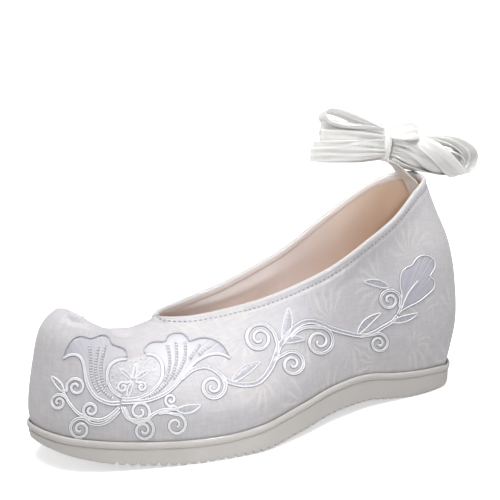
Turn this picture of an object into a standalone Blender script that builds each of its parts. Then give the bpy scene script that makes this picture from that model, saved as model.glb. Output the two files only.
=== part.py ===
"""Left slipper of an embroidered bridal pair: upturned toe, hidden wedge, ribbed rubber sole and a ribbon bow.

The tables are in millimetres. "From the toe" runs along the shoe's axis, from the tip of the sole to its heel.
In the model the toe points to -X, the heel to +X, the outer (lateral) side to -Y, and the floor is z = 0.
"""

import math

import bmesh
import bpy
import numpy as np

# Driving dimensions
MM = 0.001
SOLE_LENGTH = 245.0
ORIGIN_FROM_TOE = 133.0     # the origin lies under the middle of the whole shoe with its bow
ORIGIN_FROM_AXIS = -5.0     # and midway between its widest points, which are not mirror images
FIT_GAP = 0.3               # clearance between pieces that meet
WALL = 2.0                  # upper: brocade, stiffener and lining together

RIM_LIP_WIDTH = 1.4         # the cup edge of the sole that hides the foot of the upper
RIM_LIP_HEIGHT = 2.2
UPPER_INSET = 2.1           # from the edge of the sole to the foot of the upper
RIB_PITCH = 4.4
RIB_GROOVE_RADIUS = 1.35
RIB_GROOVE_RISE = 0.45      # centre of a groove above the tread
RIB_FIRST = 28.0
RIB_LAST = 209.0

FOOTBED_GAP = 0.5           # between the insole and the lining

BINDING_RADIUS = 1.5

THROAT_FROM_TOE = 66.0
REAR_RIM_FROM_TOE = 224.5
SPINE_END_FROM_TOE = 28.0   # bottom of the hollow behind the toe crest

# Resolution of the faceted pieces
VAMP_STATIONS = 13
COLLAR_STATIONS = 24
WALL_ROWS = 14
ROWS_TOWARDS_TOP = 1.35     # over 1 packs the rows closer near the top of the wall
BINDING_SIDES = 8
LOOP_STEPS = 15

# Plan of the sole: half widths on each side of the axis
PLAN_COLUMNS = ("from_toe", "lateral", "medial")
PLAN = [
    (0.0, 0.0, 0.0),
    (3.0, 14.5, 9.0),
    (9.0, 23.5, 16.5),
    (20.0, 30.5, 24.0),
    (40.0, 38.5, 33.0),
    (70.0, 47.5, 40.5),
    (95.0, 50.5, 39.5),
    (120.0, 45.0, 35.0),
    (150.0, 35.0, 31.0),
    (180.0, 29.5, 29.5),
    (205.0, 29.3, 29.3),
    (225.0, 26.5, 26.5),
    (238.0, 16.8, 16.8),
    (245.0, 0.0, 0.0),
]

# Side view of the sole: tread line with its toe spring and arch, and the top of the rim
LINE_COLUMNS = ("from_toe", "tread_z", "rim_z")
LINE = [
    (0.0, 10.8, 19.2),
    (12.0, 7.2, 17.1),
    (30.0, 2.9, 14.4),
    (46.0, 0.8, 12.9),
    (58.0, 0.0, 12.3),
    (76.0, 0.0, 12.0),
    (92.0, 0.0, 13.4),
    (115.0, 1.7, 16.4),
    (145.0, 3.8, 19.0),
    (160.0, 4.1, 19.5),
    (172.0, 3.7, 18.8),
    (190.0, 1.3, 15.9),
    (205.0, 0.0, 14.4),
    (222.0, 0.0, 13.3),
    (235.0, 0.0, 11.6),
    (245.0, 0.0, 10.6),
]

# Side wall of the sole, from the tread edge up: distance in from the edge, and height from the tread or the rim
SOLE_SIDE_COLUMNS = ("inset", "above_tread", "below_rim")
SOLE_SIDE = [
    (2.4, 0.0, None),
    (1.0, 1.5, None),
    (0.5, None, 6.4),
    (1.1, None, 5.6),
    (0.1, None, 4.8),
    (0.0, None, 1.4),
    (0.6, None, 0.0),
]

# Ridge of the vamp along the axis, from the hollow behind the toe crest to the throat
RIDGE_COLUMNS = ("from_toe", "aside", "z")
RIDGE = [
    (28.0, -3.4, 65.2),
    (34.0, -2.6, 59.8),
    (40.0, -1.8, 54.4),
    (50.0, -0.8, 51.6),
    (58.0, -0.2, 54.5),
    (66.0, 0.0, 59.6),
]

# Collar rim: angle round the opening from the throat to the heel, half width and height
RIM_COLUMNS = ("angle_deg", "half_width", "z")
RIM = [
    (0.0, 0.0, 59.6),
    (30.0, 10.8, 59.8),
    (60.0, 17.9, 63.1),
    (90.0, 23.6, 73.4),
    (120.0, 26.1, 92.9),
    (147.0, 19.4, 109.5),
    (168.0, 11.0, 114.2),
    (180.0, 0.0, 115.6),
]

# Upper, one row for each section of its wall. "Along" runs from -1 at the hollow of the toe, through 0 at the
# throat, to 1 at the heel. The wall rises from the sole at "from_toe" through four points, each given by its
# distance in from the foot of the wall and its height.
UPPER_COLUMNS = (
    "along", "from_toe", "low_in", "low_z", "mid_in", "mid_z", "shoulder_in", "shoulder_z", "crown_in", "crown_z",
)
UPPER = [
    (-1.00, 0.0, -1.1, 23.5, 2.6, 49.0, 6.3, 62.0, 16.1, 70.3),
    (-0.86, 3.0, -1.3, 23.5, 2.2, 49.0, 5.8, 62.0, 15.1, 69.9),
    (-0.72, 10.0, -1.6, 24.0, 1.6, 47.5, 5.4, 60.5, 13.7, 67.4),
    (-0.56, 22.0, -1.9, 24.5, 1.3, 43.0, 6.0, 54.7, 14.0, 60.7),
    (-0.38, 38.0, -2.0, 24.0, 1.5, 37.0, 8.7, 46.6, 19.8, 53.7),
    (-0.18, 55.0, -2.0, 23.5, 2.4, 34.5, 11.5, 44.0, 25.5, 52.8),
    (0.00, 69.0, -2.0, 23.0, 3.0, 34.5, 13.0, 44.5, 28.5, 54.8),
    (0.17, 82.0, -2.0, 23.0, 3.0, 35.0, 12.5, 45.5, 25.0, 55.4),
    (0.33, 106.0, -1.8, 24.5, 2.2, 37.0, 9.0, 48.0, 18.0, 57.3),
    (0.46, 133.0, -1.0, 28.0, 1.2, 42.0, 4.6, 54.0, 9.0, 62.5),
    (0.58, 163.0, -0.8, 32.0, 0.2, 48.0, 1.4, 61.0, 3.0, 71.0),
    (0.70, 192.0, -2.0, 34.0, -1.1, 52.0, 0.3, 67.0, 1.9, 80.0),
    (0.81, 217.0, -4.1, 37.0, -2.8, 57.0, 0.0, 75.0, 3.8, 89.0),
    (0.92, 237.0, -5.4, 40.0, -3.8, 61.0, -0.2, 78.0, 7.0, 95.0),
    (1.00, 245.0, -5.6, 42.0, -4.0, 63.0, -0.2, 79.5, 8.6, 97.0),
]

# Footbed of the insole: thin under the forefoot, a hidden wedge under the heel
FOOTBED_COLUMNS = ("from_toe", "z")
FOOTBED = [
    (0.0, 23.5),
    (30.0, 16.8),
    (60.0, 15.4),
    (92.0, 16.2),
    (125.0, 26.0),
    (160.0, 41.0),
    (195.0, 52.0),
    (220.0, 55.0),
    (245.0, 55.5),
]

# Bow: a hank of ribbon folded into loops, bound at the knot and sewn inside the heel by its own tail
KNOT = (203.5, 0.0, 134.0)
KNOT_LENGTH = 6.0
KNOT_HEIGHT = 19.0
KNOT_DEPTH = 14.0
KNOT_WRAPS = 3
KNOT_WRAP_RELIEF = 1.0
RIBBON_THICKNESS = 1.3
LOOP_ROOT_GAP = 0.55        # half angle left open where a loop's two ends enter the knot, in radians
LOOP_FULLNESS = 0.2         # the lower, the sooner a loop opens out beyond the knot
GATHER_LENGTH = 9.0
GATHER_SHARE = 0.62         # of the knot's height and depth

# Loops of the bow: reach from the knot, rise and sideways shift of the far end, opening, turn of the loop's
# plane about its length, and the width of the folded ribbon
LOOP_COLUMNS = ("reach", "rise", "aside", "opening", "turn_deg", "width")
FRONT_LOOPS = [
    (36.5, 17.0, -1.0, 9.0, 8.0, 9.0),
    (34.5, 8.0, 4.5, 9.0, 84.0, 7.0),
    (37.5, 3.5, -4.5, 9.0, 94.0, 8.0),
    (42.5, -5.0, 0.0, 10.0, 90.0, 8.0),
]
REAR_LOOPS = [
    (58.5, -13.0, 2.0, 21.0, 6.0, 9.0),
    (48.5, -9.0, 1.0, 9.0, 92.0, 8.0),
    (51.5, -17.0, -10.0, 13.0, 14.0, 6.5),
]

# Tail of the ribbon: from the lining of the heel up to the knot, along the axis
TAIL_WIDTH = 11.0
TAIL_FROM_OUTSIDE = 4.65    # from the outside of the heel to the tail's middle
TAIL_FOOT_Z = 97.0
TAIL_TOP_Z = 111.0
TAIL_FREE = [(217.0, 115.8), (213.0, 119.6), (208.5, 122.3)]

# Materials: colour, roughness
BROCADE_WHITE = ((0.80, 0.79, 0.80, 1.0), 0.55)
RUBBER_IVORY = ((0.66, 0.64, 0.60, 1.0), 0.6)
LINING_BEIGE = ((0.74, 0.58, 0.50, 1.0), 0.6)
BINDING_WHITE = ((0.86, 0.85, 0.85, 1.0), 0.45)
SATIN_WHITE = ((0.90, 0.90, 0.88, 1.0), 0.35)


# Tables and curves

def column(table, names, name):
    """One named column of a table, as an array."""
    return np.array([row[names.index(name)] for row in table], float)


def smooth(known, values, wanted):
    """Monotone cubic through the rows of a table: it never overshoots between two rows."""
    gaps = np.diff(known)
    rises = np.diff(values) / gaps
    slopes = np.zeros_like(values)
    slopes[0], slopes[-1] = rises[0], rises[-1]
    for i in range(1, len(values) - 1):
        if rises[i - 1] * rises[i] > 0:
            before, after = 2 * gaps[i] + gaps[i - 1], gaps[i] + 2 * gaps[i - 1]
            slopes[i] = (before + after) / (before / rises[i - 1] + after / rises[i])
    wanted = np.clip(wanted, known[0], known[-1])
    i = np.clip(np.searchsorted(known, wanted, side="right") - 1, 0, len(gaps) - 1)
    s = (wanted - known[i]) / gaps[i]
    start = (1 + 2 * s) * (1 - s) ** 2 * values[i] + s * (1 - s) ** 2 * gaps[i] * slopes[i]
    end = s * s * (3 - 2 * s) * values[i + 1] + s * s * (s - 1) * gaps[i] * slopes[i + 1]
    return start + end


def round_share(from_toe):
    """Share of the half turn round the sole at which a length along the axis is reached."""
    return np.arccos(np.clip(1 - 2 * np.asarray(from_toe) / SOLE_LENGTH, -1, 1)) / math.pi


def half_width(from_toe, side):
    """Half width of the sole on its lateral or medial side; its two ends are round."""
    shares = round_share(column(PLAN, PLAN_COLUMNS, "from_toe"))
    return smooth(shares, column(PLAN, PLAN_COLUMNS, side), round_share(from_toe))


def line_height(from_toe, name):
    """Height of the tread or of the sole's rim."""
    return smooth(column(LINE, LINE_COLUMNS, "from_toe"), column(LINE, LINE_COLUMNS, name), from_toe)


def footbed_height(from_toe):
    return smooth(column(FOOTBED, FOOTBED_COLUMNS, "from_toe"), column(FOOTBED, FOOTBED_COLUMNS, "z"), from_toe)


def top_line(along, side_sign):
    """Point where the wall of the upper ends: on the ridge of the vamp, or on the collar rim."""
    if along <= 0:
        from_toe = THROAT_FROM_TOE + along * (THROAT_FROM_TOE - SPINE_END_FROM_TOE)
        lengths = column(RIDGE, RIDGE_COLUMNS, "from_toe")
        aside, z = (float(smooth(lengths, column(RIDGE, RIDGE_COLUMNS, n), from_toe)) for n in ("aside", "z"))
        return np.array([from_toe, aside, z])
    angle = 180.0 * along
    angles = column(RIM, RIM_COLUMNS, "angle_deg")
    half_length = (REAR_RIM_FROM_TOE - THROAT_FROM_TOE) / 2
    from_toe = THROAT_FROM_TOE + half_length * (1 - math.cos(math.radians(angle)))
    width = float(smooth(angles, column(RIM, RIM_COLUMNS, "half_width"), angle))
    z = float(smooth(angles, column(RIM, RIM_COLUMNS, "z"), angle))
    return np.array([from_toe, side_sign * width, z])


def stations():
    """Places along the top line at which the wall is worked out."""
    vamp = np.linspace(-1, 0, VAMP_STATIONS)
    collar = np.linspace(0, 1, COLLAR_STATIONS + 1)[1:]
    return np.concatenate([vamp, collar])


def edge_from_toe(along):
    """Where on the sole the wall at a station stands."""
    places = column(UPPER, UPPER_COLUMNS, "along")
    shares = smooth(places, round_share(column(UPPER, UPPER_COLUMNS, "from_toe")), along)
    return SOLE_LENGTH / 2 * (1 - np.cos(math.pi * shares))


def plan_loop(lengths):
    """Closed plan of the sole's edge, lateral side from toe to heel and medial side back, with its outward normals."""
    lateral = np.column_stack([lengths, -half_width(lengths, "lateral")])
    medial = np.column_stack([lengths, half_width(lengths, "medial")])
    loop = np.concatenate([lateral, medial[-2:0:-1]])
    run = np.roll(loop, -1, axis=0) - np.roll(loop, 1, axis=0)
    run /= np.linalg.norm(run, axis=1)[:, None]
    outward = np.column_stack([-run[:, 1], run[:, 0]])
    middle = loop.mean(axis=0)
    if np.sum((loop - middle) * outward) < 0:
        outward = -outward
    return loop, outward


def wall_profile(foot, top, row):
    """Points up one section of the wall, from its foot on the sole to the top line."""
    plan = top[:2] - foot[:2]
    reach = float(np.linalg.norm(plan))
    towards = plan / reach
    names = ("low", "mid", "shoulder", "crown")
    inward = np.array([0.0] + [row[n + "_in"] for n in names] + [reach])
    heights = np.array([foot[2]] + [row[n + "_z"] for n in names] + [top[2]])
    inward = np.minimum(inward, reach)
    run = np.concatenate([[0.0], np.cumsum(np.hypot(np.diff(inward), np.diff(heights)))])
    steps = run[-1] * (1 - np.linspace(1.0, 0.0, WALL_ROWS + 1) ** ROWS_TOWARDS_TOP)
    distance = smooth(run, inward, steps)
    z = smooth(run, heights, steps)
    return np.column_stack([foot[0] + towards[0] * distance, foot[1] + towards[1] * distance, z])


def wall_grid():
    """Outer face of the upper: one closed round of sections, each with its points from the sole to the top line."""
    along = stations()
    places = column(UPPER, UPPER_COLUMNS, "along")
    lengths = edge_from_toe(along)
    loop, outward = plan_loop(lengths)
    feet = loop - UPPER_INSET * outward
    order = list(range(len(along))) + list(range(len(along) - 2, 0, -1))
    grid = []
    for place, i in enumerate(order):
        row = {n: float(smooth(places, column(UPPER, UPPER_COLUMNS, n), along[i])) for n in UPPER_COLUMNS[2:]}
        side_sign = -1.0 if place < len(along) else 1.0
        foot_z = float(line_height(lengths[i], "rim_z")) - RIM_LIP_HEIGHT + FIT_GAP
        foot = np.array([feet[place][0], feet[place][1], foot_z])
        grid.append(wall_profile(foot, top_line(along[i], side_sign), row))
    return np.array(grid)


def inner_grid(distance):
    """The wall's outer face moved inward by a distance, square to the wall."""
    grid = wall_grid()
    round_run = np.roll(grid, -1, axis=0) - np.roll(grid, 1, axis=0)
    up_run = np.gradient(grid, axis=1)
    normal = np.cross(round_run, up_run)
    normal /= np.maximum(np.linalg.norm(normal, axis=2), 1e-9)[..., None]
    middle = grid[:, 0].mean(axis=0)
    if np.sum((grid[:, 1] - middle) * normal[:, 1]) < 0:
        normal = -normal
    return grid - distance * normal, normal


# Meshes

def place(points):
    """Shoe millimetres, measured from the toe along the axis, as model coordinates in metres."""
    return (np.asarray(points, float) - np.array([ORIGIN_FROM_TOE, ORIGIN_FROM_AXIS, 0.0])) * MM


def material(name, finish):
    made = bpy.data.materials.new(name)
    made.use_nodes = True
    shader = made.node_tree.nodes["Principled BSDF"]
    shader.inputs["Base Color"].default_value = finish[0]
    shader.inputs["Roughness"].default_value = finish[1]
    shader.inputs["Metallic"].default_value = 0.0
    made.diffuse_color = finish[0]
    return made


def add_object(name, mesh_maker, finish, collection):
    """A named object from a bmesh, welded and with its faces pointing out."""
    bmesh.ops.remove_doubles(mesh_maker, verts=mesh_maker.verts, dist=0.00001)
    bmesh.ops.recalc_face_normals(mesh_maker, faces=mesh_maker.faces)
    mesh = bpy.data.meshes.new(name)
    mesh_maker.to_mesh(mesh)
    mesh_maker.free()
    mesh.shade_smooth()
    obj = bpy.data.objects.new(name, mesh)
    collection.objects.link(obj)
    if finish:
        mesh.materials.append(material(name + "_finish", finish))
    return obj


def add_grid(mesh_maker, points, close_round, close_across=False):
    """Faces over a grid of points, joined round its first direction or across its second where asked."""
    rows = [[mesh_maker.verts.new(p) for p in line] for line in points]
    round_steps = len(rows) if close_round else len(rows) - 1
    across_steps = len(rows[0]) if close_across else len(rows[0]) - 1
    for i in range(round_steps):
        here, there = rows[i], rows[(i + 1) % len(rows)]
        for j in range(across_steps):
            k = (j + 1) % len(here)
            corners = [here[j], there[j], there[k], here[k]]
            mesh_maker.faces.new(corners)
    return rows


def close_between(mesh_maker, ring):
    """Closes a ring that runs out along one side and back along the other, with strips from side to side."""
    half = len(ring) // 2
    out, back = ring[: half + 1], [ring[0]] + ring[: half - 1 : -1]
    for i in range(half):
        corners = [out[i], out[i + 1], back[i + 1], back[i]]
        distinct = list(dict.fromkeys(corners))
        if len(distinct) > 2:
            mesh_maker.faces.new(distinct)


def boolean(obj, other, operation):
    change = obj.modifiers.new(operation.lower(), "BOOLEAN")
    change.operation = operation
    change.object = other
    change.solver = "EXACT"


def hide_tool(obj):
    obj.hide_render = True
    obj.display_type = "WIRE"


# Outsole: cup sole of rubber with a rolled rim, a groove under it and ribs across the tread

def outsole(parts, tools):
    lengths = edge_from_toe(stations())
    loop, outward = plan_loop(lengths)
    tread = line_height(loop[:, 0], "tread_z")
    rim = line_height(loop[:, 0], "rim_z")
    rings = []
    for inset, above_tread, below_rim in SOLE_SIDE:
        z = tread + above_tread if below_rim is None else rim - below_rim
        rings.append(np.column_stack([loop - inset * outward, z]))
    rings.append(np.column_stack([loop - RIM_LIP_WIDTH * outward, rim]))
    rings.append(np.column_stack([loop - RIM_LIP_WIDTH * outward, rim - RIM_LIP_HEIGHT]))
    made = bmesh.new()
    rows = add_grid(made, place(np.array(rings).transpose(1, 0, 2)), close_round=True)
    close_between(made, [row[0] for row in rows])
    close_between(made, [row[-1] for row in rows])
    sole = add_object("outsole", made, RUBBER_IVORY, parts)
    boolean(sole, rib_grooves(tools), "DIFFERENCE")
    return sole


def rib_grooves(tools):
    """Round grooves across the tread, following its spring and arch."""
    made = bmesh.new()
    count = int((RIB_LAST - RIB_FIRST) / RIB_PITCH) + 1
    for i in range(count):
        from_toe = RIB_FIRST + i * RIB_PITCH
        z = float(line_height(from_toe, "tread_z")) + RIB_GROOVE_RISE
        rod = bmesh.ops.create_cone(
            made, cap_ends=True, segments=8, depth=2.4 * max(column(PLAN, PLAN_COLUMNS, "lateral")) * MM,
            radius1=RIB_GROOVE_RADIUS * MM, radius2=RIB_GROOVE_RADIUS * MM,
        )
        centre = place([from_toe, 0.0, z])
        for v in rod["verts"]:
            v.co = (v.co.x + centre[0], v.co.z + centre[1], -v.co.y + centre[2])
    cutter = add_object("rib_groove_cutter", made, None, tools)
    hide_tool(cutter)
    return cutter


# Upper: one hollow wall, open at the collar and underneath

def upper(parts):
    made = bmesh.new()
    add_grid(made, place(wall_grid()), close_round=True)
    shell = add_object("upper", made, BROCADE_WHITE, parts)
    wall = shell.modifiers.new("wall", "SOLIDIFY")
    wall.thickness = WALL * MM
    wall.offset = -1.0
    wall.use_even_offset = False
    wall.use_rim = True
    return shell


# Insole: foam wedge with a lined footbed, dropped into the upper

def insole(parts):
    grid, _ = inner_grid(WALL + FOOTBED_GAP)
    rows = []
    for line in grid:
        heights = np.linspace(line[0, 2], float(footbed_height(line[0, 0])), 4)
        rising = np.maximum.accumulate(line[:, 2])
        rows.append(np.column_stack([np.interp(heights, rising, line[:, k]) for k in range(2)] + [heights]))
    made = bmesh.new()
    verts = add_grid(made, place(rows), close_round=True)
    close_between(made, [line[0] for line in verts])
    close_between(made, [line[-1] for line in verts])
    return add_object("insole", made, LINING_BEIGE, parts)


# Collar binding: a rolled edge that caps the wall all round the opening

def collar_binding(parts):
    grid, normal = inner_grid(WALL / 2)
    first = VAMP_STATIONS - 1
    count = len(grid)
    order = list(range(first, count - first + 1))
    path = np.array([grid[i % count, -1] for i in order])
    square = np.array([normal[i % count, -1] for i in order])
    run = np.roll(path, -1, axis=0) - np.roll(path, 1, axis=0)
    run /= np.linalg.norm(run, axis=1)[:, None]
    away = np.cross(square, run)
    away /= np.linalg.norm(away, axis=1)[:, None]
    down = np.array([grid[i % count, -2] for i in order]) - path
    away[np.sum(away * down, axis=1) > 0] *= -1
    centre = path + (FIT_GAP + BINDING_RADIUS) * away
    across = np.cross(run, away)
    turns = np.arange(BINDING_SIDES) * 2 * math.pi / BINDING_SIDES
    tube = np.array([
        [c + BINDING_RADIUS * (math.cos(t) * a + math.sin(t) * b) for t in turns]
        for c, a, b in zip(centre, away, across)
    ])
    made = bmesh.new()
    add_grid(made, place(tube), close_round=True, close_across=True)
    return add_object("collar_binding", made, BINDING_WHITE, parts)


# Bow: loops of ribbon on each side of a wrapped knot, and the tail that carries it

def knot_side(direction):
    """Centre of the knot's face towards the toe (-1) or the heel (+1)."""
    return np.array(KNOT) + np.array([direction * (KNOT_LENGTH / 2 + FIT_GAP), 0.0, 0.0])


def loop_strip(root, direction, row):
    """Rings of four corners along one ribbon loop, from the knot out to its far end and back."""
    reach, rise, aside, opening, turn, width = row
    end = np.array([direction * reach, aside, rise])
    length = np.linalg.norm(end)
    ahead = end / length
    flat = np.cross(ahead, [0.0, 0.0, 1.0])
    flat /= np.linalg.norm(flat)
    upright = np.cross(flat, ahead)
    angles = np.linspace(LOOP_ROOT_GAP, 2 * math.pi - LOOP_ROOT_GAP, LOOP_STEPS)
    along = (1 - np.cos(angles)) / 2
    spread = opening / 2 * np.sin(angles) * along ** LOOP_FULLNESS
    turned = math.radians(turn)
    sideways = math.cos(turned) * upright + math.sin(turned) * flat
    path = root + (along * length)[:, None] * ahead + spread[:, None] * sideways
    broad = np.cross(ahead, sideways)
    run = np.gradient(path, axis=0)
    thin = np.cross(run, broad)
    thin /= np.linalg.norm(thin, axis=1)[:, None]
    w, t = broad * width / 2, thin * RIBBON_THICKNESS / 2
    return np.stack([path - w - t, path + w - t, path + w + t, path - w + t], axis=1)


def loop_object(name, rings, finish, collection):
    made = bmesh.new()
    rows = add_grid(made, place(rings), close_round=False, close_across=True)
    made.faces.new(rows[0])
    made.faces.new(rows[-1])
    return add_object(name, made, finish, collection)


def gather(name, root, direction, parts):
    """Where the loops of one side are drawn together at the knot: the body that their ends join."""
    half_turns = np.linspace(0.0, math.pi, 7)
    turns = np.arange(12) * math.pi / 6
    rings = []
    for a in half_turns:
        reach = direction * GATHER_LENGTH * (1 - math.cos(a)) / 2
        size = GATHER_SHARE * max(math.sin(a), 0.75 if a == 0 else 0.02)
        rings.append([
            root + np.array([reach, size * KNOT_DEPTH / 2 * math.cos(t), size * KNOT_HEIGHT / 2 * math.sin(t)])
            for t in turns
        ])
    made = bmesh.new()
    rows = add_grid(made, place(rings), close_round=False, close_across=True)
    made.faces.new(rows[0])
    made.faces.new(rows[-1])
    return add_object(name, made, SATIN_WHITE, parts)


def bow_side(name, direction, loops, parts, tools):
    """One side of the bow: its loops joined where they are gathered."""
    root = knot_side(direction)
    body = gather(name, root, direction, parts)
    for number, row in enumerate(loops):
        strip = loop_object(f"{name}_strip_{number}", loop_strip(root, direction, row), None, tools)
        hide_tool(strip)
        boolean(body, strip, "UNION")
    return body


def knot(parts):
    """Turns of ribbon wound round the middle of the bow."""
    steps = np.linspace(0.0, 1.0, 4 * KNOT_WRAPS + 1)
    turns = np.arange(16) * math.pi / 8
    rings = []
    for s in steps:
        wrap = abs(math.sin(math.pi * KNOT_WRAPS * s)) * KNOT_WRAP_RELIEF
        rings.append([
            np.array(KNOT) + np.array([
                (s - 0.5) * KNOT_LENGTH,
                (KNOT_DEPTH / 2 - KNOT_WRAP_RELIEF + wrap) * math.cos(t),
                (KNOT_HEIGHT / 2 - KNOT_WRAP_RELIEF + wrap) * math.sin(t),
            ])
            for t in turns
        ])
    made = bmesh.new()
    rows = add_grid(made, place(rings), close_round=False, close_across=True)
    made.faces.new(rows[0])
    made.faces.new(rows[-1])
    return add_object("bow_knot", made, SATIN_WHITE, parts)


def ribbon_tail(parts):
    """The ribbon's own tail, sewn flat to the lining at the back and rising to the knot."""
    heel = wall_grid()[VAMP_STATIONS + COLLAR_STATIONS - 1]
    heights = np.linspace(TAIL_FOOT_Z, TAIL_TOP_Z, 4)
    sewn = [(float(np.interp(z, heel[:, 2], heel[:, 0])) - TAIL_FROM_OUTSIDE, z) for z in heights]
    knot_foot = (KNOT[0], KNOT[2] - KNOT_HEIGHT / 2 - FIT_GAP - RIBBON_THICKNESS / 2)
    points = np.array(sewn + TAIL_FREE + [knot_foot])
    path = np.column_stack([points[:, 0], np.zeros(len(points)), points[:, 1]])
    run = np.gradient(path, axis=0)
    run /= np.linalg.norm(run, axis=1)[:, None]
    broad = np.array([0.0, 1.0, 0.0])
    thin = np.cross(run, broad) * RIBBON_THICKNESS / 2
    w = broad * TAIL_WIDTH / 2
    rings = np.stack([path - w - thin, path + w - thin, path + w + thin, path - w + thin], axis=1)
    return loop_object("ribbon_tail", rings, SATIN_WHITE, parts)


def main():
    for obj in list(bpy.data.objects):
        bpy.data.objects.remove(obj, do_unlink=True)
    parts = bpy.data.collections.new("bridal_slipper")
    tools = bpy.data.collections.new("cutters")
    for collection in (parts, tools):
        bpy.context.scene.collection.children.link(collection)
    outsole(parts, tools)
    insole(parts)
    upper(parts)
    collar_binding(parts)
    knot(parts)
    bow_side("bow_front_loops", -1, FRONT_LOOPS, parts, tools)
    bow_side("bow_rear_loops", 1, REAR_LOOPS, parts, tools)
    ribbon_tail(parts)


main()
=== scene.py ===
"""Looks of a left bridal slipper: white brocade, satin-stitch scrolls, a pale cup sole and a ribbon bow.

Shoe measures are in millimetres: "from the toe" runs along the shoe's axis from the tip of the sole to
its heel, and the outer side of the foot is at negative y. place() turns them into the model's metres.
"""

import math

import bmesh
import bpy
import numpy as np
from mathutils import Matrix, Vector, geometry
from mathutils.bvhtree import BVHTree


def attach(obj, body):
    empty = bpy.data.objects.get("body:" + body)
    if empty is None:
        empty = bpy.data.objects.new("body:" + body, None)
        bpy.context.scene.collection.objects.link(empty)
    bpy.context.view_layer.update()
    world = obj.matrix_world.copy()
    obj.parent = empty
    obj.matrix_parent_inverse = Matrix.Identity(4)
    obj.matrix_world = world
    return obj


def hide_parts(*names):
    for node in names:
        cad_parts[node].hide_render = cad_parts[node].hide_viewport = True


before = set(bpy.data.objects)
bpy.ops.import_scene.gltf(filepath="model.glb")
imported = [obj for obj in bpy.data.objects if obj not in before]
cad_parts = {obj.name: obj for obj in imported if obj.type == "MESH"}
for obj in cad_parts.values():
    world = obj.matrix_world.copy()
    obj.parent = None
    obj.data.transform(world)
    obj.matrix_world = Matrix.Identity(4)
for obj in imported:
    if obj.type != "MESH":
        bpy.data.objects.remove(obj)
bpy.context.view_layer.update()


# Studio. A pale round sweep serves as floor and wall, under one broad soft box above the outer side of
# the shoe and three weaker ones. The camera stands where the photograph was taken from, ahead of the shoe
# and a little above it.

PHOTO_PIXELS = 500
FOCAL_PIXELS = 1100.0
SENSOR = 36.0
CAMERA_PLACE = (-0.2926, -0.4542, 0.1975)
CAMERA_TURN = math.radians(-31.3)
CAMERA_DOWN = math.radians(11.8)
CAMERA_ROLL = math.radians(-0.8)
CLIP_START = 0.02
FLOOR_RADIUS = 1.3
SWEEP_RADIUS = 0.7
SWEEP_HEIGHT = 1.2
SWEEP_STEPS = 13
FLOOR_RINGS = (0.001, 0.35, 0.8)
ROUND_STEPS = 72
PAPER_ROUGHNESS = 0.9
PAPER_SHINE = 0.1
# Painted light for the camera: the paper's white as the camera sees it, and the glow set out below.
FLOOR_PAINTED_WHITE = (0.93, 0.93, 0.93, 1.0)
FLOOR_BOUNCE = (0.68, 0.68, 0.68, 1.0)
NEAR_GLOW = 0.6
FAR_GLOW = 0.9
NEAR_GLOW_RADIUS = 0.14
FAR_GLOW_RADIUS = 0.62
SKY_WHITE = (1.0, 1.0, 1.0, 1.0)
SKY_STRENGTH = 0.25
SOFT_BOX_COLUMNS = ("name", "place", "aim", "size", "watts", "spread_deg")
SOFT_BOXES = [
    ("soft_box_above", (-0.17, -0.25, 1.34), (0.0, 0.0, 0.05), 0.9, 20.6, 180.0),
    ("soft_box_bow", (-0.20, -0.50, 0.33), (0.06, 0.0, 0.14), 0.12, 0.0115, 9.5),
    ("soft_box_ball", (-0.30, -0.74, 0.14), (-0.05, -0.045, 0.02), 0.12, 0.0065, 8.0),
    ("soft_box_heel", (0.9, 0.5, 0.9), (0.0, 0.0, 0.05), 0.8, 1.2, 180.0),
]


def node(tree, kind, inputs=(), **settings):
    """Adds a shader node; each input is either a value to set or the output of another node."""
    made = tree.nodes.new("ShaderNode" + kind)
    for name, value in settings.items():
        setattr(made, name, value)
    for socket, value in dict(inputs).items():
        if isinstance(value, bpy.types.NodeSocket):
            tree.links.new(value, made.inputs[socket])
        else:
            made.inputs[socket].default_value = value
    return made


def new_finish(name, **plain):
    """A material with its Principled shader; plain values go straight on the shader's own sockets."""
    made = bpy.data.materials.new(name)
    made.use_nodes = True
    shader = made.node_tree.nodes["Principled BSDF"]
    for socket, value in plain.items():
        shader.inputs[socket.replace("_", " ")].default_value = value
    return made, made.node_tree, shader


def ramp(tree, value, low=0.0, high=1.0, to_low=0.0, to_high=1.0, **settings):
    """A value carried from one range to another and held at its ends."""
    spans = {"From Min": low, "From Max": high, "To Min": to_low, "To Max": to_high}
    return node(tree, "MapRange", {"Value": value, **spans}, **settings).outputs["Result"]


def mixed(tree, share, base, other):
    """One colour that changes to another with a mask."""
    return node(tree, "Mix", {0: share, 6: base, 7: other}, data_type="RGBA").outputs[2]


def add_mesh(name, points, faces, finishes, slots=None, uv=None):
    """A smooth-shaded mesh object from points in metres; slots gives the finish of each face."""
    mesh = bpy.data.meshes.new(name)
    corners = [tuple(int(i) for i in face) for face in faces]
    mesh.from_pydata([tuple(point) for point in np.asarray(points, float)], [], corners)
    for made in finishes:
        mesh.materials.append(made)
    if slots is not None:
        mesh.polygons.foreach_set("material_index", np.asarray(slots, np.int32))
    if uv is not None:
        corner = np.empty(len(mesh.loops), np.int32)
        mesh.loops.foreach_get("vertex_index", corner)
        layer = mesh.uv_layers.new(name="cloth")
        layer.data.foreach_set("uv", np.asarray(uv, np.float32)[corner].ravel())
    shaper = bmesh.new()
    shaper.from_mesh(mesh)
    bmesh.ops.recalc_face_normals(shaper, faces=shaper.faces)
    shaper.to_mesh(mesh)
    shaper.free()
    mesh.shade_smooth()
    obj = bpy.data.objects.new(name, mesh)
    bpy.context.scene.collection.objects.link(obj)
    return obj


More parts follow.
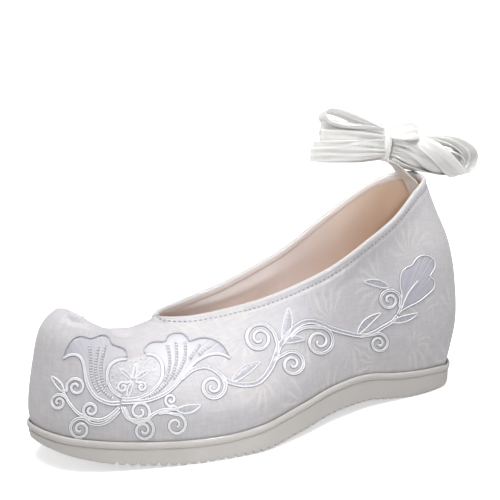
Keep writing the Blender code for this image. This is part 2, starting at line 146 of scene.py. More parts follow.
def grid_faces(rows, columns, close_rows=False, close_columns=False, start=0):
    """Quads over a grid of points that are numbered row by row."""
    i, j = np.meshgrid(
        np.arange(rows if close_rows else rows - 1),
        np.arange(columns if close_columns else columns - 1),
        indexing="ij",
    )
    i, j = i.ravel(), j.ravel()
    k, m = (i + 1) % rows, (j + 1) % columns
    return start + np.column_stack([i * columns + j, k * columns + j, k * columns + m, i * columns + m])


back = Vector((
    math.sin(CAMERA_TURN) * math.cos(CAMERA_DOWN),
    -math.cos(CAMERA_TURN) * math.cos(CAMERA_DOWN),
    math.sin(CAMERA_DOWN),
))
level = Vector((math.cos(CAMERA_TURN), math.sin(CAMERA_TURN), 0.0))
rising = back.cross(level)
camera_right = level * math.cos(CAMERA_ROLL) + rising * math.sin(CAMERA_ROLL)
camera_up = rising * math.cos(CAMERA_ROLL) - level * math.sin(CAMERA_ROLL)
camera_data = bpy.data.cameras.new("photo_camera")
camera_data.sensor_width = SENSOR
camera_data.lens = FOCAL_PIXELS * SENSOR / PHOTO_PIXELS
camera_data.clip_start = CLIP_START
camera = bpy.data.objects.new("photo_camera", camera_data)
camera_facing = Matrix((camera_right, camera_up, back)).transposed().to_4x4()
camera.matrix_world = Matrix.Translation(CAMERA_PLACE) @ camera_facing
bpy.context.scene.collection.objects.link(camera)
bpy.context.scene.camera = camera
bpy.context.scene.view_settings.view_transform = "Standard"

for name, lamp_place, lamp_aim, size, watts, spread_deg in SOFT_BOXES:
    lamp_data = bpy.data.lights.new(name, "AREA")
    lamp_data.shape = "DISK"
    lamp_data.size = size
    lamp_data.energy = watts
    lamp_data.spread = math.radians(spread_deg)
    lamp = bpy.data.objects.new(name, lamp_data)
    lamp.location = lamp_place
    lamp.rotation_mode = "QUATERNION"
    lamp.rotation_quaternion = (Vector(lamp_aim) - lamp.location).to_track_quat("-Z", "Y")
    bpy.context.scene.collection.objects.link(lamp)

sky = bpy.data.worlds.new("studio_sky")
sky.use_nodes = True
sky.node_tree.nodes["Background"].inputs["Color"].default_value = SKY_WHITE
sky.node_tree.nodes["Background"].inputs["Strength"].default_value = SKY_STRENGTH
bpy.context.scene.world = sky

sweep_turns = np.linspace(0.0, math.pi / 2, SWEEP_STEPS)
sweep_line = [(radius, 0.0) for radius in FLOOR_RINGS]
sweep_line += [
    (FLOOR_RADIUS + SWEEP_RADIUS * math.sin(t), SWEEP_RADIUS * (1 - math.cos(t))) for t in sweep_turns
]
sweep_line += [(FLOOR_RADIUS + SWEEP_RADIUS, SWEEP_HEIGHT)]
round_turns = np.arange(ROUND_STEPS) * 2 * math.pi / ROUND_STEPS
sweep_points = [(r * math.cos(t), r * math.sin(t), z) for t in round_turns for r, z in sweep_line]
# The paper is painted light for the camera alone. It looks whiter than the tone that light bounces off, and
# it glows, least near the shoe and most on the far sweep. This whitens the backdrop and washes out the
# shoe's shadow.
floor_finish, floor_tree, floor_shader = new_finish(
    "studio_paper", Roughness=PAPER_ROUGHNESS, Specular_IOR_Level=PAPER_SHINE, Emission_Strength=1.0,
)
floor_place = node(floor_tree, "TexCoord").outputs["Object"]
floor_reach = node(floor_tree, "VectorMath", {0: floor_place}, operation="LENGTH").outputs["Value"]
painted_backdrop_glow = ramp(
    floor_tree, floor_reach, NEAR_GLOW_RADIUS, FAR_GLOW_RADIUS, NEAR_GLOW, FAR_GLOW,
    interpolation_type="SMOOTHSTEP",
)
seen = node(floor_tree, "LightPath").outputs["Is Camera Ray"]
floor_tone_painted_for_camera = mixed(floor_tree, seen, FLOOR_BOUNCE, FLOOR_PAINTED_WHITE)
floor_tree.links.new(floor_tone_painted_for_camera, floor_shader.inputs["Base Color"])
painted_glow_for_camera = node(floor_tree, "Math", {0: seen, 1: painted_backdrop_glow}, operation="MULTIPLY").outputs[0]
floor_tree.links.new(painted_glow_for_camera, floor_shader.inputs["Emission Color"])
sweep_faces = grid_faces(ROUND_STEPS, len(sweep_line), close_rows=True)
studio_floor = add_mesh("studio_floor", sweep_points, sweep_faces, [floor_finish])


# Outsole. A cup sole of pale moulded rubber: rolled rim, thin groove under it, toe spring and a low arch.
# The tread is sunk behind a row of ribs across its edges. The foot of the upper is cemented inside the rim.

MM = 0.001
SOLE_LENGTH = 245.0
ORIGIN_FROM_TOE = 133.0
ORIGIN_FROM_AXIS = -5.0
SOLE_STEP = 0.44
END_STEPS = 150
END_ZONE = 7.0
RIM_LIP_HEIGHT = 2.2
RIB_PITCH = 4.4
RIB_DEPTH = 2.3
RIB_FIRST = 28.0
RIB_LAST = 208.4
RIB_FADE = 90.0
RIB_FAINTEST = 0.35
RIB_SHARPNESS = 2.2
LUG_LENGTH = 3.6
LUG_BACK = 1.2
SUNK_RAMP = 8.0
RUBBER_BASE = (0.585, 0.56, 0.535, 1.0)
RUBBER_PALE = (0.635, 0.61, 0.59, 1.0)
RUBBER_SHINE = 0.35
RUBBER_CLOUD_SCALE = 60.0
RUBBER_GRAIN_SCALE = 2600.0
RUBBER_ROUGH = (0.52, 0.68)
RUBBER_BUMP = (0.25, 0.0002)

PLAN_COLUMNS = ("from_toe", "lateral", "medial")
PLAN = [
    (0.0, 0.0, 0.0),
    (3.0, 14.5, 9.0),
    (9.0, 23.5, 16.5),
    (20.0, 30.5, 24.0),
    (40.0, 38.5, 33.0),
    (70.0, 47.5, 40.5),
    (95.0, 50.5, 39.5),
    (120.0, 45.0, 35.0),
    (150.0, 35.0, 31.0),
    (180.0, 29.5, 29.5),
    (205.0, 29.3, 29.3),
    (225.0, 26.5, 26.5),
    (238.0, 16.8, 16.8),
    (245.0, 0.0, 0.0),
]
LINE_COLUMNS = ("from_toe", "tread_z", "rim_z")
LINE = [
    (0.0, 10.8, 19.2),
    (12.0, 7.2, 17.1),
    (30.0, 2.9, 14.4),
    (46.0, 0.8, 12.9),
    (58.0, 0.0, 12.3),
    (76.0, 0.0, 12.0),
    (92.0, 0.0, 13.4),
    (115.0, 1.7, 16.4),
    (145.0, 3.8, 19.0),
    (160.0, 4.1, 19.5),
    (172.0, 3.7, 18.8),
    (190.0, 1.3, 15.9),
    (205.0, 0.0, 14.4),
    (222.0, 0.0, 13.3),
    (235.0, 0.0, 11.6),
    (245.0, 0.0, 10.6),
]
SOLE_FOOT_COLUMNS = ("inset", "above_tread")
SOLE_FOOT = [(2.6, 0.0), (2.1, 0.15), (1.6, 0.5), (1.25, 1.0), (1.05, 1.7), (0.95, 2.5)]
SOLE_RIM_COLUMNS = ("inset", "below_rim")
SOLE_RIM = [
    (0.80, 5.4),
    (0.66, 4.4),
    (0.62, 3.9),
    (0.72, 3.62),
    (0.92, 3.45),
    (0.92, 3.15),
    (0.58, 2.98),
    (0.28, 2.72),
    (0.08, 2.35),
    (0.00, 1.80),
    (0.02, 1.20),
    (0.15, 0.65),
    (0.42, 0.22),
    (0.75, 0.02),
    (1.05, 0.03),
    (1.30, 0.30),
    (1.40, 0.80),
    (1.40, RIM_LIP_HEIGHT),
]


def column(table, names, name):
    """One named column of a table, as an array."""
    return np.array([row[names.index(name)] for row in table], float)


def smooth(known, values, wanted):
    """Monotone cubic through the rows of a table: it never overshoots between two rows."""
    gaps = np.diff(known)
    rises = np.diff(values) / gaps
    slopes = np.zeros_like(values)
    slopes[0], slopes[-1] = rises[0], rises[-1]
    for i in range(1, len(values) - 1):
        if rises[i - 1] * rises[i] > 0:
            before, after = 2 * gaps[i] + gaps[i - 1], gaps[i] + 2 * gaps[i - 1]
            slopes[i] = (before + after) / (before / rises[i - 1] + after / rises[i])
    wanted = np.clip(wanted, known[0], known[-1])
    i = np.clip(np.searchsorted(known, wanted, side="right") - 1, 0, len(gaps) - 1)
    s = (wanted - known[i]) / gaps[i]
    start = (1 + 2 * s) * (1 - s) ** 2 * values[i] + s * (1 - s) ** 2 * gaps[i] * slopes[i]
    end = s * s * (3 - 2 * s) * values[i + 1] + s * s * (s - 1) * gaps[i] * slopes[i + 1]
    return start + end


def round_share(from_toe):
    """Share of the half turn round the sole at which a length along the axis is reached."""
    return np.arccos(np.clip(1 - 2 * np.asarray(from_toe) / SOLE_LENGTH, -1, 1)) / math.pi


def half_width(from_toe, side):
    shares = round_share(column(PLAN, PLAN_COLUMNS, "from_toe"))
    return smooth(shares, column(PLAN, PLAN_COLUMNS, side), round_share(from_toe))


def line_height(from_toe, name):
    return smooth(column(LINE, LINE_COLUMNS, "from_toe"), column(LINE, LINE_COLUMNS, name), from_toe)


def plan_loop(lengths):
    """Closed plan of the sole's edge, out along the lateral side and back, with its outward normals."""
    lateral = np.column_stack([lengths, -half_width(lengths, "lateral")])
    medial = np.column_stack([lengths, half_width(lengths, "medial")])
    loop = np.concatenate([lateral, medial[-2:0:-1]])
    run = np.roll(loop, -1, axis=0) - np.roll(loop, 1, axis=0)
    run /= np.linalg.norm(run, axis=1)[:, None]
    outward = np.column_stack([-run[:, 1], run[:, 0]])
    if np.sum((loop - loop.mean(axis=0)) * outward) < 0:
        outward = -outward
    return loop, outward


def place(points):
    """Shoe millimetres as model coordinates in metres."""
    return (np.asarray(points, float) - np.array([ORIGIN_FROM_TOE, ORIGIN_FROM_AXIS, 0.0])) * MM


def across_faces(count, columns, row):
    """Strips that close a round grid from its lateral to its medial side, along one of its columns."""
    half = count // 2
    faces = []
    for i in range(half):
        corners = [i, i + 1, (count - i - 1) % count, (count - i) % count]
        distinct = list(dict.fromkeys(corners))
        faces.append([c * columns + row for c in distinct])
    return faces


def rib_floor(from_toe):
    """Height of the tread between its ribs: each rib is a round bump, and they flatten towards the heel."""
    off = np.abs((from_toe - RIB_FIRST) / RIB_PITCH % 1.0 - 0.5) * 2
    depth = RIB_DEPTH * np.clip(RIB_FAINTEST + (RIB_LAST - from_toe) / RIB_FADE, RIB_FAINTEST, 1.0)
    ribbed = (from_toe > RIB_FIRST - RIB_PITCH / 2) & (from_toe < RIB_LAST + RIB_PITCH / 2)
    return np.where(ribbed, depth * off ** RIB_SHARPNESS, 0.0)


def sunk_tread(from_toe):
    """Height of the middle of the tread: as high as the ribs are deep, and level at the toe and heel."""
    ends = np.minimum(from_toe - RIB_FIRST, RIB_LAST - from_toe) / SUNK_RAMP
    return RIB_DEPTH * np.clip(ends + 1, 0.0, 1.0)


even = np.arange(RIB_FIRST % SOLE_STEP, SOLE_LENGTH, SOLE_STEP)
turned = SOLE_LENGTH / 2 * (1 - np.cos(np.linspace(0.0, math.pi, END_STEPS)))
near_end = (turned < END_ZONE) | (turned > SOLE_LENGTH - END_ZONE)
inside = (even > END_ZONE) & (even < SOLE_LENGTH - END_ZONE)
sole_lengths = np.sort(np.concatenate([even[inside], turned[near_end]]))
sole_loop, sole_outward = plan_loop(sole_lengths)
sole_tread = line_height(sole_loop[:, 0], "tread_z")
sole_rim = line_height(sole_loop[:, 0], "rim_z")
foot_insets = column(SOLE_FOOT, SOLE_FOOT_COLUMNS, "inset")
foot_heights = column(SOLE_FOOT, SOLE_FOOT_COLUMNS, "above_tread")
rib_cut = rib_floor(sole_loop[:, 0])
sole_rings = []
lug_back = np.maximum(rib_cut, sunk_tread(sole_loop[:, 0]))
for inset, above in ((LUG_LENGTH + LUG_BACK, lug_back), (LUG_LENGTH, rib_cut)):
    sole_rings.append(np.column_stack([sole_loop - inset * sole_outward, sole_tread + above]))
for height in foot_heights:
    above = np.maximum(height, rib_cut)
    inset = np.interp(above, foot_heights, foot_insets)
    sole_rings.append(np.column_stack([sole_loop - inset[:, None] * sole_outward, sole_tread + above]))
for inset, below in SOLE_RIM:
    sole_rings.append(np.column_stack([sole_loop - inset * sole_outward, sole_rim - below]))
sole_grid = np.array(sole_rings).transpose(1, 0, 2)
sole_count, sole_rows = sole_grid.shape[:2]
sole_faces = list(grid_faces(sole_count, sole_rows, close_rows=True))
sole_faces += across_faces(sole_count, sole_rows, 0)
sole_faces += [face[::-1] for face in across_faces(sole_count, sole_rows, sole_rows - 1)]


def noise(tree, at, scale, detail=2.0, **settings):
    """Soft cloudy values over a place or a cloth."""
    made = node(tree, "TexNoise", {"Vector": at, "Scale": scale, "Detail": detail}, **settings)
    return made.outputs["Fac"]


def dress(tree, shader, tone, mask, rough, relief=None, bump=None):
    """Links a finish: its colour, roughness between two values by a mask, and the bump of a relief."""
    tree.links.new(tone, shader.inputs["Base Color"])
    tree.links.new(ramp(tree, mask, to_low=rough[0], to_high=rough[1]), shader.inputs["Roughness"])
    if bump:
        strength, distance = bump
        raised = node(tree, "Bump", {"Strength": strength, "Distance": distance, "Height": relief})
        tree.links.new(raised.outputs["Normal"], shader.inputs["Normal"])


rubber, tree, shader = new_finish("pale_rubber", Specular_IOR_Level=RUBBER_SHINE)
spot = node(tree, "TexCoord").outputs["Object"]
cloud = noise(tree, spot, RUBBER_CLOUD_SCALE, 4.0)
grain = noise(tree, spot, RUBBER_GRAIN_SCALE)
dress(tree, shader, mixed(tree, cloud, RUBBER_BASE, RUBBER_PALE), grain, RUBBER_ROUGH, grain, RUBBER_BUMP)

sole_piece = add_mesh("sole_cup", place(sole_grid.reshape(-1, 3)), sole_faces, [rubber])
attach(sole_piece, "root")
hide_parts("outsole")


# Upper. Brocade over a stiffener, lasted into one seamless wall from the sole to the collar and drawn up
# at the toe; the inside is lined with smooth beige cloth. Its foot is cemented behind the rim of the sole.

FIT_GAP = 0.3
WALL = 2.0
UPPER_INSET = 2.1
THROAT_FROM_TOE = 66.0
REAR_RIM_FROM_TOE = 224.5
SPINE_END_FROM_TOE = 28.0
VAMP_STEPS = 76
COLLAR_STEPS = 150
WALL_ROWS = 76
ROWS_TOWARDS_TOP = 1.2
SOFTENING_ROUNDS = 10
SOFTENING = 0.5
CLOTH_ROW = 0.35
COLLAR_GROOVE_BELOW = 3.4
COLLAR_GROOVE_DEPTH = 0.6
COLLAR_GROOVE_REACH = 1.05
HOLLOW_BELOW = 12.0
HOLLOW_RETURN = 34.0
LINING_FOLLOWS = 0.35
LEAST_LENGTH = 1e-9
# Painted shade of the lining towards the toe: where it starts, where it is full, and how strong it gets.
LINING_THROAT_FROM = -0.022
LINING_THROAT_TO = -0.06
LINING_THROAT_SHARE = 0.6
BROCADE_WHITE = (0.615, 0.605, 0.63, 1.0)
BROCADE_CREAM = (0.645, 0.615, 0.615, 1.0)
BROCADE_SHADE = (0.56, 0.545, 0.57, 1.0)
BROCADE_FIGURE = (0.775, 0.74, 0.715, 1.0)
# The lining's beige in painted shade and in painted light, and where each one ends.
LINING_SHADE_TAN = (0.775, 0.595, 0.465, 1.0)
LINING_LIT_PALE = (0.96, 0.89, 0.875, 1.0)
LINING_LIT_PALE_TO = 0.028
LINING_SHADE_TAN_FROM = 0.094

RIDGE_COLUMNS = ("from_toe", "aside", "z")
RIDGE = [
    (28.0, -3.4, 65.2),
    (34.0, -2.6, 59.8),
    (40.0, -1.8, 54.4),
    (50.0, -0.8, 51.6),
    (58.0, -0.2, 54.5),
    (66.0, 0.0, 59.6),
]
RIM_COLUMNS = ("angle_deg", "half_width", "z")
RIM = [
    (0.0, 0.0, 59.6),
    (30.0, 10.8, 59.8),
    (60.0, 17.9, 63.1),
    (90.0, 23.6, 73.4),
    (120.0, 26.1, 92.9),
    (147.0, 19.4, 109.5),
    (168.0, 11.0, 114.2),
    (180.0, 0.0, 115.6),
]

# Depth to which the sides are drawn in under the collar, from the throat at 0 to the heel at 1.
HOLLOW_COLUMNS = ("along", "depth")
HOLLOW = [
    (-1.0, 0.0), (0.0, 0.0), (0.18, 1.1), (0.33, 2.2), (0.46, 2.3), (0.58, 2.0), (0.7, 1.4), (1.0, 0.0),
]

# Folds of the drawn-up toe, on both sides of its crest: height, reach to either side, and plan.
TOE_FOLD_COLUMNS = ("height", "reach", "plan")
TOE_FOLDS = [
    (-2.2, 1.6, [(16.8, 8.6), (17.6, 11.2), (18.7, 13.4), (20.8, 15.0), (24.0, 16.6)]),
    (1.2, 1.8, [(18.4, 6.0), (20.2, 9.6), (22.2, 12.0), (25.0, 13.6)]),
    (0.8, 1.7, [(15.4, 11.6), (16.8, 14.6), (19.4, 16.6), (23.0, 18.2)]),
]
FOLDED_FACING = 0.45
FOLDED_FACING_RAMP = 0.2
FOLD_STEPS = 41
FOLD_TAPER = 0.6
UPPER_COLUMNS = (
    "along", "from_toe", "low_in", "low_z", "mid_in", "mid_z", "shoulder_in", "shoulder_z",
    "crown_in", "crown_z",
)
UPPER = [
    (-1.00, 0.0, -1.1, 23.5, 2.6, 49.0, 6.3, 62.0, 16.1, 70.3),
    (-0.86, 3.0, -1.3, 23.5, 2.2, 49.0, 5.8, 62.0, 15.1, 69.9),
    (-0.72, 10.0, -1.6, 24.0, 1.6, 47.5, 5.4, 60.5, 13.7, 67.4),
    (-0.56, 22.0, -1.9, 24.5, 1.3, 43.0, 6.0, 54.7, 14.0, 60.7),
    (-0.38, 38.0, -2.0, 24.0, 1.5, 37.0, 8.7, 46.6, 19.8, 53.7),
    (-0.18, 55.0, -2.0, 23.5, 2.4, 34.5, 11.5, 44.0, 25.5, 52.8),
    (0.00, 69.0, -2.0, 23.0, 3.0, 34.5, 13.0, 44.5, 28.5, 54.8),
    (0.17, 82.0, -2.0, 23.0, 3.0, 35.0, 12.5, 45.5, 25.0, 55.4),
    (0.33, 106.0, -1.8, 24.5, 2.2, 37.0, 9.0, 48.0, 18.0, 57.3),
    (0.46, 133.0, -1.0, 28.0, 1.2, 42.0, 4.6, 54.0, 9.0, 62.5),
    (0.58, 163.0, -0.8, 32.0, 0.2, 48.0, 1.4, 61.0, 3.0, 71.0),
    (0.70, 192.0, -2.0, 34.0, -1.1, 52.0, 0.3, 67.0, 1.9, 80.0),
    (0.81, 217.0, -4.1, 37.0, -2.8, 57.0, 0.0, 75.0, 3.8, 89.0),
    (0.92, 237.0, -5.4, 40.0, -3.8, 61.0, -0.2, 78.0, 7.0, 95.0),
    (1.00, 245.0, -5.6, 42.0, -4.0, 63.0, -0.2, 79.5, 8.6, 97.0),
]


def edge_from_toe(along):
    """Where on the sole the wall at a station stands."""
    places = column(UPPER, UPPER_COLUMNS, "along")
    shares = smooth(places, round_share(column(UPPER, UPPER_COLUMNS, "from_toe")), along)
    return SOLE_LENGTH / 2 * (1 - np.cos(math.pi * shares))


def top_line(along, side_sign):
    """Point where the wall ends: on the ridge of the vamp, or on the collar rim."""
    if along <= 0:
        from_toe = THROAT_FROM_TOE + along * (THROAT_FROM_TOE - SPINE_END_FROM_TOE)
        lengths = column(RIDGE, RIDGE_COLUMNS, "from_toe")
        aside = float(smooth(lengths, column(RIDGE, RIDGE_COLUMNS, "aside"), from_toe))
        z = float(smooth(lengths, column(RIDGE, RIDGE_COLUMNS, "z"), from_toe))
        return np.array([from_toe, aside, z])
    angle = 180.0 * along
    angles = column(RIM, RIM_COLUMNS, "angle_deg")
    half_length = (REAR_RIM_FROM_TOE - THROAT_FROM_TOE) / 2
    from_toe = THROAT_FROM_TOE + half_length * (1 - math.cos(math.radians(angle)))
    width = float(smooth(angles, column(RIM, RIM_COLUMNS, "half_width"), angle))
    z = float(smooth(angles, column(RIM, RIM_COLUMNS, "z"), angle))
    return np.array([from_toe, side_sign * width, z])


def wall_profile(foot, top, row):
    """Points up one section of the wall, from its foot on the sole to the top line."""
    plan = top[:2] - foot[:2]
    reach = float(np.linalg.norm(plan))
    towards = plan / reach
    names = ("low", "mid", "shoulder", "crown")
    inward = np.minimum([0.0] + [row[n + "_in"] for n in names] + [reach], reach)
    heights = np.array([foot[2]] + [row[n + "_z"] for n in names] + [top[2]])
    run = np.concatenate([[0.0], np.cumsum(np.hypot(np.diff(inward), np.diff(heights)))])
    steps = run[-1] * (1 - np.linspace(1.0, 0.0, WALL_ROWS + 1) ** ROWS_TOWARDS_TOP)
    distance = smooth(run, inward, steps)
    z = smooth(run, heights, steps)
    return np.column_stack([foot[0] + towards[0] * distance, foot[1] + towards[1] * distance, z])


def soften(grid, rounds):
    """Evens out the cloth between its foot and its rim, across the ridge of the vamp too."""
    ring = len(grid)
    vamp = np.arange(1, VAMP_STEPS)
    for _ in range(rounds):
        near = (np.roll(grid, 1, axis=0) + np.roll(grid, -1, axis=0)) / 2
        up_down = grid.copy()
        up_down[:, 1:-1] = (grid[:, 2:] + grid[:, :-2]) / 2
        over = (grid[vamp, -2] + grid[ring - vamp, -2]) / 2
        up_down[vamp, -1] = over
        up_down[ring - vamp, -1] = over
        along_ridge = grid[:, -1].copy()
        along_ridge[vamp] = (grid[vamp - 1, -1] + grid[vamp + 1, -1]) / 2
        along_ridge[ring - vamp] = along_ridge[vamp]
        near[:, -1] = along_ridge
        free = np.ones(grid.shape[:2])
        free[:, 0] = 0.0
        free[VAMP_STEPS: ring - VAMP_STEPS + 1, -1] = 0.0
        free[0, -1] = 0.0
        grid = grid + SOFTENING * free[..., None] * ((near + up_down) / 2 - grid)
    return grid


def grid_normals(grid):
    """Outward normals of the wall; the two sides share theirs along the ridge of the vamp."""
    normal = np.cross(np.roll(grid, -1, axis=0) - np.roll(grid, 1, axis=0), np.gradient(grid, axis=1))
    normal /= np.maximum(np.linalg.norm(normal, axis=2), LEAST_LENGTH)[..., None]
    if np.sum((grid[:, 1] - grid[:, 0].mean(axis=0)) * normal[:, 1]) < 0:
        normal = -normal
    ring = len(grid)
    normal[0, -1] = normal[0, -2]
    vamp = np.arange(1, VAMP_STEPS + 1)
    shared = normal[vamp, -1] + normal[ring - vamp, -1]
    shared /= np.linalg.norm(shared, axis=1)[:, None]
    normal[vamp, -1] = shared
    normal[ring - vamp, -1] = shared
    return normal


def fold_cloth(grid, normals):
    """Lifts or sinks the cloth along each fold on the top of the toe; a fold dies away at its two ends."""
    folded = grid.copy()
    spot = np.stack([grid[..., 0], np.abs(grid[..., 1])], axis=2)
    on_top = np.clip((normals[..., 2] - FOLDED_FACING) / FOLDED_FACING_RAMP, 0.0, 1.0)
    for height, reach, plan in TOE_FOLDS:
        nearest = np.full(grid.shape[:2], np.inf)
        strength = np.zeros(grid.shape[:2])
        shares = np.linspace(0.0, 1.0, FOLD_STEPS)
        run = np.linspace(0.0, 1.0, len(plan))
        for share in shares:
            at = [np.interp(share, run, [p[k] for p in plan]) for k in range(2)]
            away = np.hypot(spot[..., 0] - at[0], spot[..., 1] - at[1])
            strength = np.where(away < nearest, math.sin(math.pi * share) ** FOLD_TAPER, strength)
            nearest = np.minimum(nearest, away)
        shift = height * strength * on_top * np.exp(-(nearest / reach) ** 2)
        folded += shift[..., None] * normals
    return folded


def below_rim(grid):
    """Distance of each point of the wall from the rim of the opening."""
    rim = grid[VAMP_STEPS: len(grid) - VAMP_STEPS + 1, -1]
    return np.array([np.linalg.norm(line[:, None] - rim[None], axis=2).min(axis=1) for line in grid])


def hollow_cloth(grid, normals, along, share):
    """Draws the sides in under the collar, quickly below the rim and slowly out again lower down."""
    below = below_rim(grid)
    inward = np.clip(below / HOLLOW_BELOW, 0.0, 1.0)
    outward = np.clip((below - HOLLOW_BELOW) / HOLLOW_RETURN, 0.0, 1.0)
    drawn = inward ** 2 * (3 - 2 * inward) - outward ** 2 * (3 - 2 * outward)
    depth = smooth(column(HOLLOW, HOLLOW_COLUMNS, "along"), column(HOLLOW, HOLLOW_COLUMNS, "depth"), along)
    return grid - share * (depth[:, None] * drawn)[..., None] * normals


def groove_cloth(grid, normals):
    """Sinks the cloth along a line just below the rim, where the collar is stitched down."""
    below = below_rim(grid)
    sink = COLLAR_GROOVE_DEPTH * np.exp(-((below - COLLAR_GROOVE_BELOW) / COLLAR_GROOVE_REACH) ** 2)
    return grid - sink[..., None] * normals


along_wall = np.concatenate([np.linspace(-1, 0, VAMP_STEPS + 1), np.linspace(0, 1, COLLAR_STEPS + 1)[1:]])
wall_lengths = edge_from_toe(along_wall)
wall_loop, wall_outward = plan_loop(wall_lengths)
wall_feet = wall_loop - UPPER_INSET * wall_outward
half_ring = len(along_wall) - 1
full_ring = 2 * half_ring
upper_places = column(UPPER, UPPER_COLUMNS, "along")
wall_table = {
    name: smooth(upper_places, column(UPPER, UPPER_COLUMNS, name), along_wall) for name in UPPER_COLUMNS[2:]
}
wall_sections = []
for at in range(full_ring):
    i = at if at <= half_ring else full_ring - at
    foot_z = float(line_height(wall_lengths[i], "rim_z")) - RIM_LIP_HEIGHT + FIT_GAP
    foot = np.array([wall_feet[at][0], wall_feet[at][1], foot_z])
    top = top_line(along_wall[i], -1.0 if at <= half_ring else 1.0)
    row = {name: float(values[i]) for name, values in wall_table.items()}
    wall_sections.append(wall_profile(foot, top, row))
outer_grid = soften(np.array(wall_sections), SOFTENING_ROUNDS)
outer_grid = fold_cloth(outer_grid, grid_normals(outer_grid))
along_ring = np.concatenate([along_wall, along_wall[-2:0:-1]])
folded_normals = grid_normals(outer_grid)
inner_grid = hollow_cloth(outer_grid, folded_normals, along_ring, LINING_FOLLOWS)
inner_grid = inner_grid - WALL * grid_normals(inner_grid)
outer_grid = hollow_cloth(outer_grid, folded_normals, along_ring, 1.0)
outer_grid = groove_cloth(outer_grid, grid_normals(outer_grid))
outer_normals = grid_normals(outer_grid)

wall_columns = WALL_ROWS + 1
wall_point_count = full_ring * wall_columns
outer_faces = grid_faces(full_ring, wall_columns, close_rows=True)
lining_faces = grid_faces(full_ring, wall_columns, close_rows=True, start=wall_point_count)[:, ::-1]
ring_index = np.arange(full_ring)
ring_next = (ring_index + 1) % full_ring
foot_faces = np.column_stack([
    ring_next * wall_columns, ring_index * wall_columns,
    ring_index * wall_columns + wall_point_count, ring_next * wall_columns + wall_point_count,
])
rim_edge = ring_index[VAMP_STEPS: full_ring - VAMP_STEPS]
rim_next = rim_edge + 1
last = WALL_ROWS
rim_faces = np.column_stack([
    rim_edge * wall_columns + last, rim_next * wall_columns + last,
    rim_next * wall_columns + last + wall_point_count, rim_edge * wall_columns + last + wall_point_count,
])

# The two sides of the vamp use the same points along the ridge.
weld = np.arange(2 * wall_point_count)
for i in range(1, VAMP_STEPS + 1):
    for start in (0, wall_point_count):
        weld[start + (full_ring - i) * wall_columns + last] = start + i * wall_columns + last
upper_faces = []
upper_slots = []
for slot_number, faces in enumerate((np.concatenate([outer_faces, foot_faces, rim_faces]), lining_faces)):
    for face in weld[faces]:
        distinct = list(dict.fromkeys(int(corner) for corner in face))
        if len(distinct) > 2:
            upper_faces.append(distinct)
            upper_slots.append(slot_number)
used = np.unique(np.concatenate([np.array(face) for face in upper_faces]))
renumber = np.full(2 * wall_point_count, -1)
renumber[used] = np.arange(len(used))
upper_faces = [[int(renumber[corner]) for corner in face] for face in upper_faces]

# Cloth coordinates in metres, counted from the toe on both sides.
middle_row = int(CLOTH_ROW * WALL_ROWS)
round_gap = np.linalg.norm(np.diff(outer_grid[: half_ring + 1, middle_row], axis=0), axis=1)
round_run = np.concatenate([[0.0], np.cumsum(round_gap)])
round_run = np.concatenate([round_run, round_run[-2:0:-1]])
up_gap = np.linalg.norm(np.diff(outer_grid, axis=1), axis=2)
up_run = np.concatenate([np.zeros((full_ring, 1)), np.cumsum(up_gap, axis=1)], axis=1)
round_runs = np.repeat(round_run[:, None], wall_columns, axis=1)
cloth_run = np.stack([round_runs, up_run], axis=2).reshape(-1, 2) * MM
upper_uv = np.concatenate([cloth_run, cloth_run])[used]
upper_points = place(np.concatenate([outer_grid.reshape(-1, 3), inner_grid.reshape(-1, 3)])[used])


def new_group(name, inputs, outputs):
    """A shader node group with its named sockets; returns the group, its input node and its output node."""
    group = bpy.data.node_groups.new(name, "ShaderNodeTree")
    for socket, kind in inputs:
        group.interface.new_socket(socket, in_out="INPUT", socket_type="NodeSocket" + kind)
    for socket, kind in outputs:
        group.interface.new_socket(socket, in_out="OUTPUT", socket_type="NodeSocket" + kind)
    return group, group.nodes.new("NodeGroupInput"), group.nodes.new("NodeGroupOutput")


def use_group(tree, group, inputs):
    """Places a group in a material; its first output is the one that is used."""
    return node(tree, "Group", inputs, node_tree=group).outputs[0]


def math_of(tree, operation, *values):
    return node(tree, "Math", dict(enumerate(values)), operation=operation).outputs[0]


def vector_of(tree, operation, *values):
    return node(tree, "VectorMath", dict(enumerate(values)), operation=operation).outputs[0]


# Slubs: height of uneven threads in warp and weft.
slubs, slubs_in, slubs_out = new_group(
    "woven_slubs", [("Cloth", "Vector"), ("Threads", "Float"), ("Length", "Float")], [("Height", "Float")],
)
fine, drawn = slubs_in.outputs["Threads"], slubs_in.outputs["Length"]
slub_parts = []
for along_thread, over_thread in ((fine, drawn), (drawn, fine)):
    stretch = node(slubs, "CombineXYZ", {0: along_thread, 1: over_thread, 2: 1.0}).outputs[0]
    slub_parts.append(noise(slubs, vector_of(slubs, "MULTIPLY", slubs_in.outputs["Cloth"], stretch), 1.0))
slub_sum = math_of(slubs, "ADD", *slub_parts)
slubs.links.new(math_of(slubs, "MULTIPLY", slub_sum, 0.5), slubs_out.inputs["Height"])

# Tint: cloudy change from one colour to another.
TINT_CLOUD = (0.38, 0.62)
tint, tint_in, tint_out = new_group(
    "cloudy_tint",
    [("Place", "Vector"), ("Scale", "Float"), ("Base", "Color"), ("Other", "Color"), ("Share", "Float")],
    [("Color", "Color")],
)
tint_cloud = noise(tint, tint_in.outputs["Place"], tint_in.outputs["Scale"], 3.0)
tint_amount = math_of(tint, "MULTIPLY", ramp(tint, tint_cloud, *TINT_CLOUD), tint_in.outputs["Share"])
tint_mix = mixed(tint, tint_amount, tint_in.outputs["Base"], tint_in.outputs["Other"])
tint.links.new(tint_mix, tint_out.inputs["Color"])

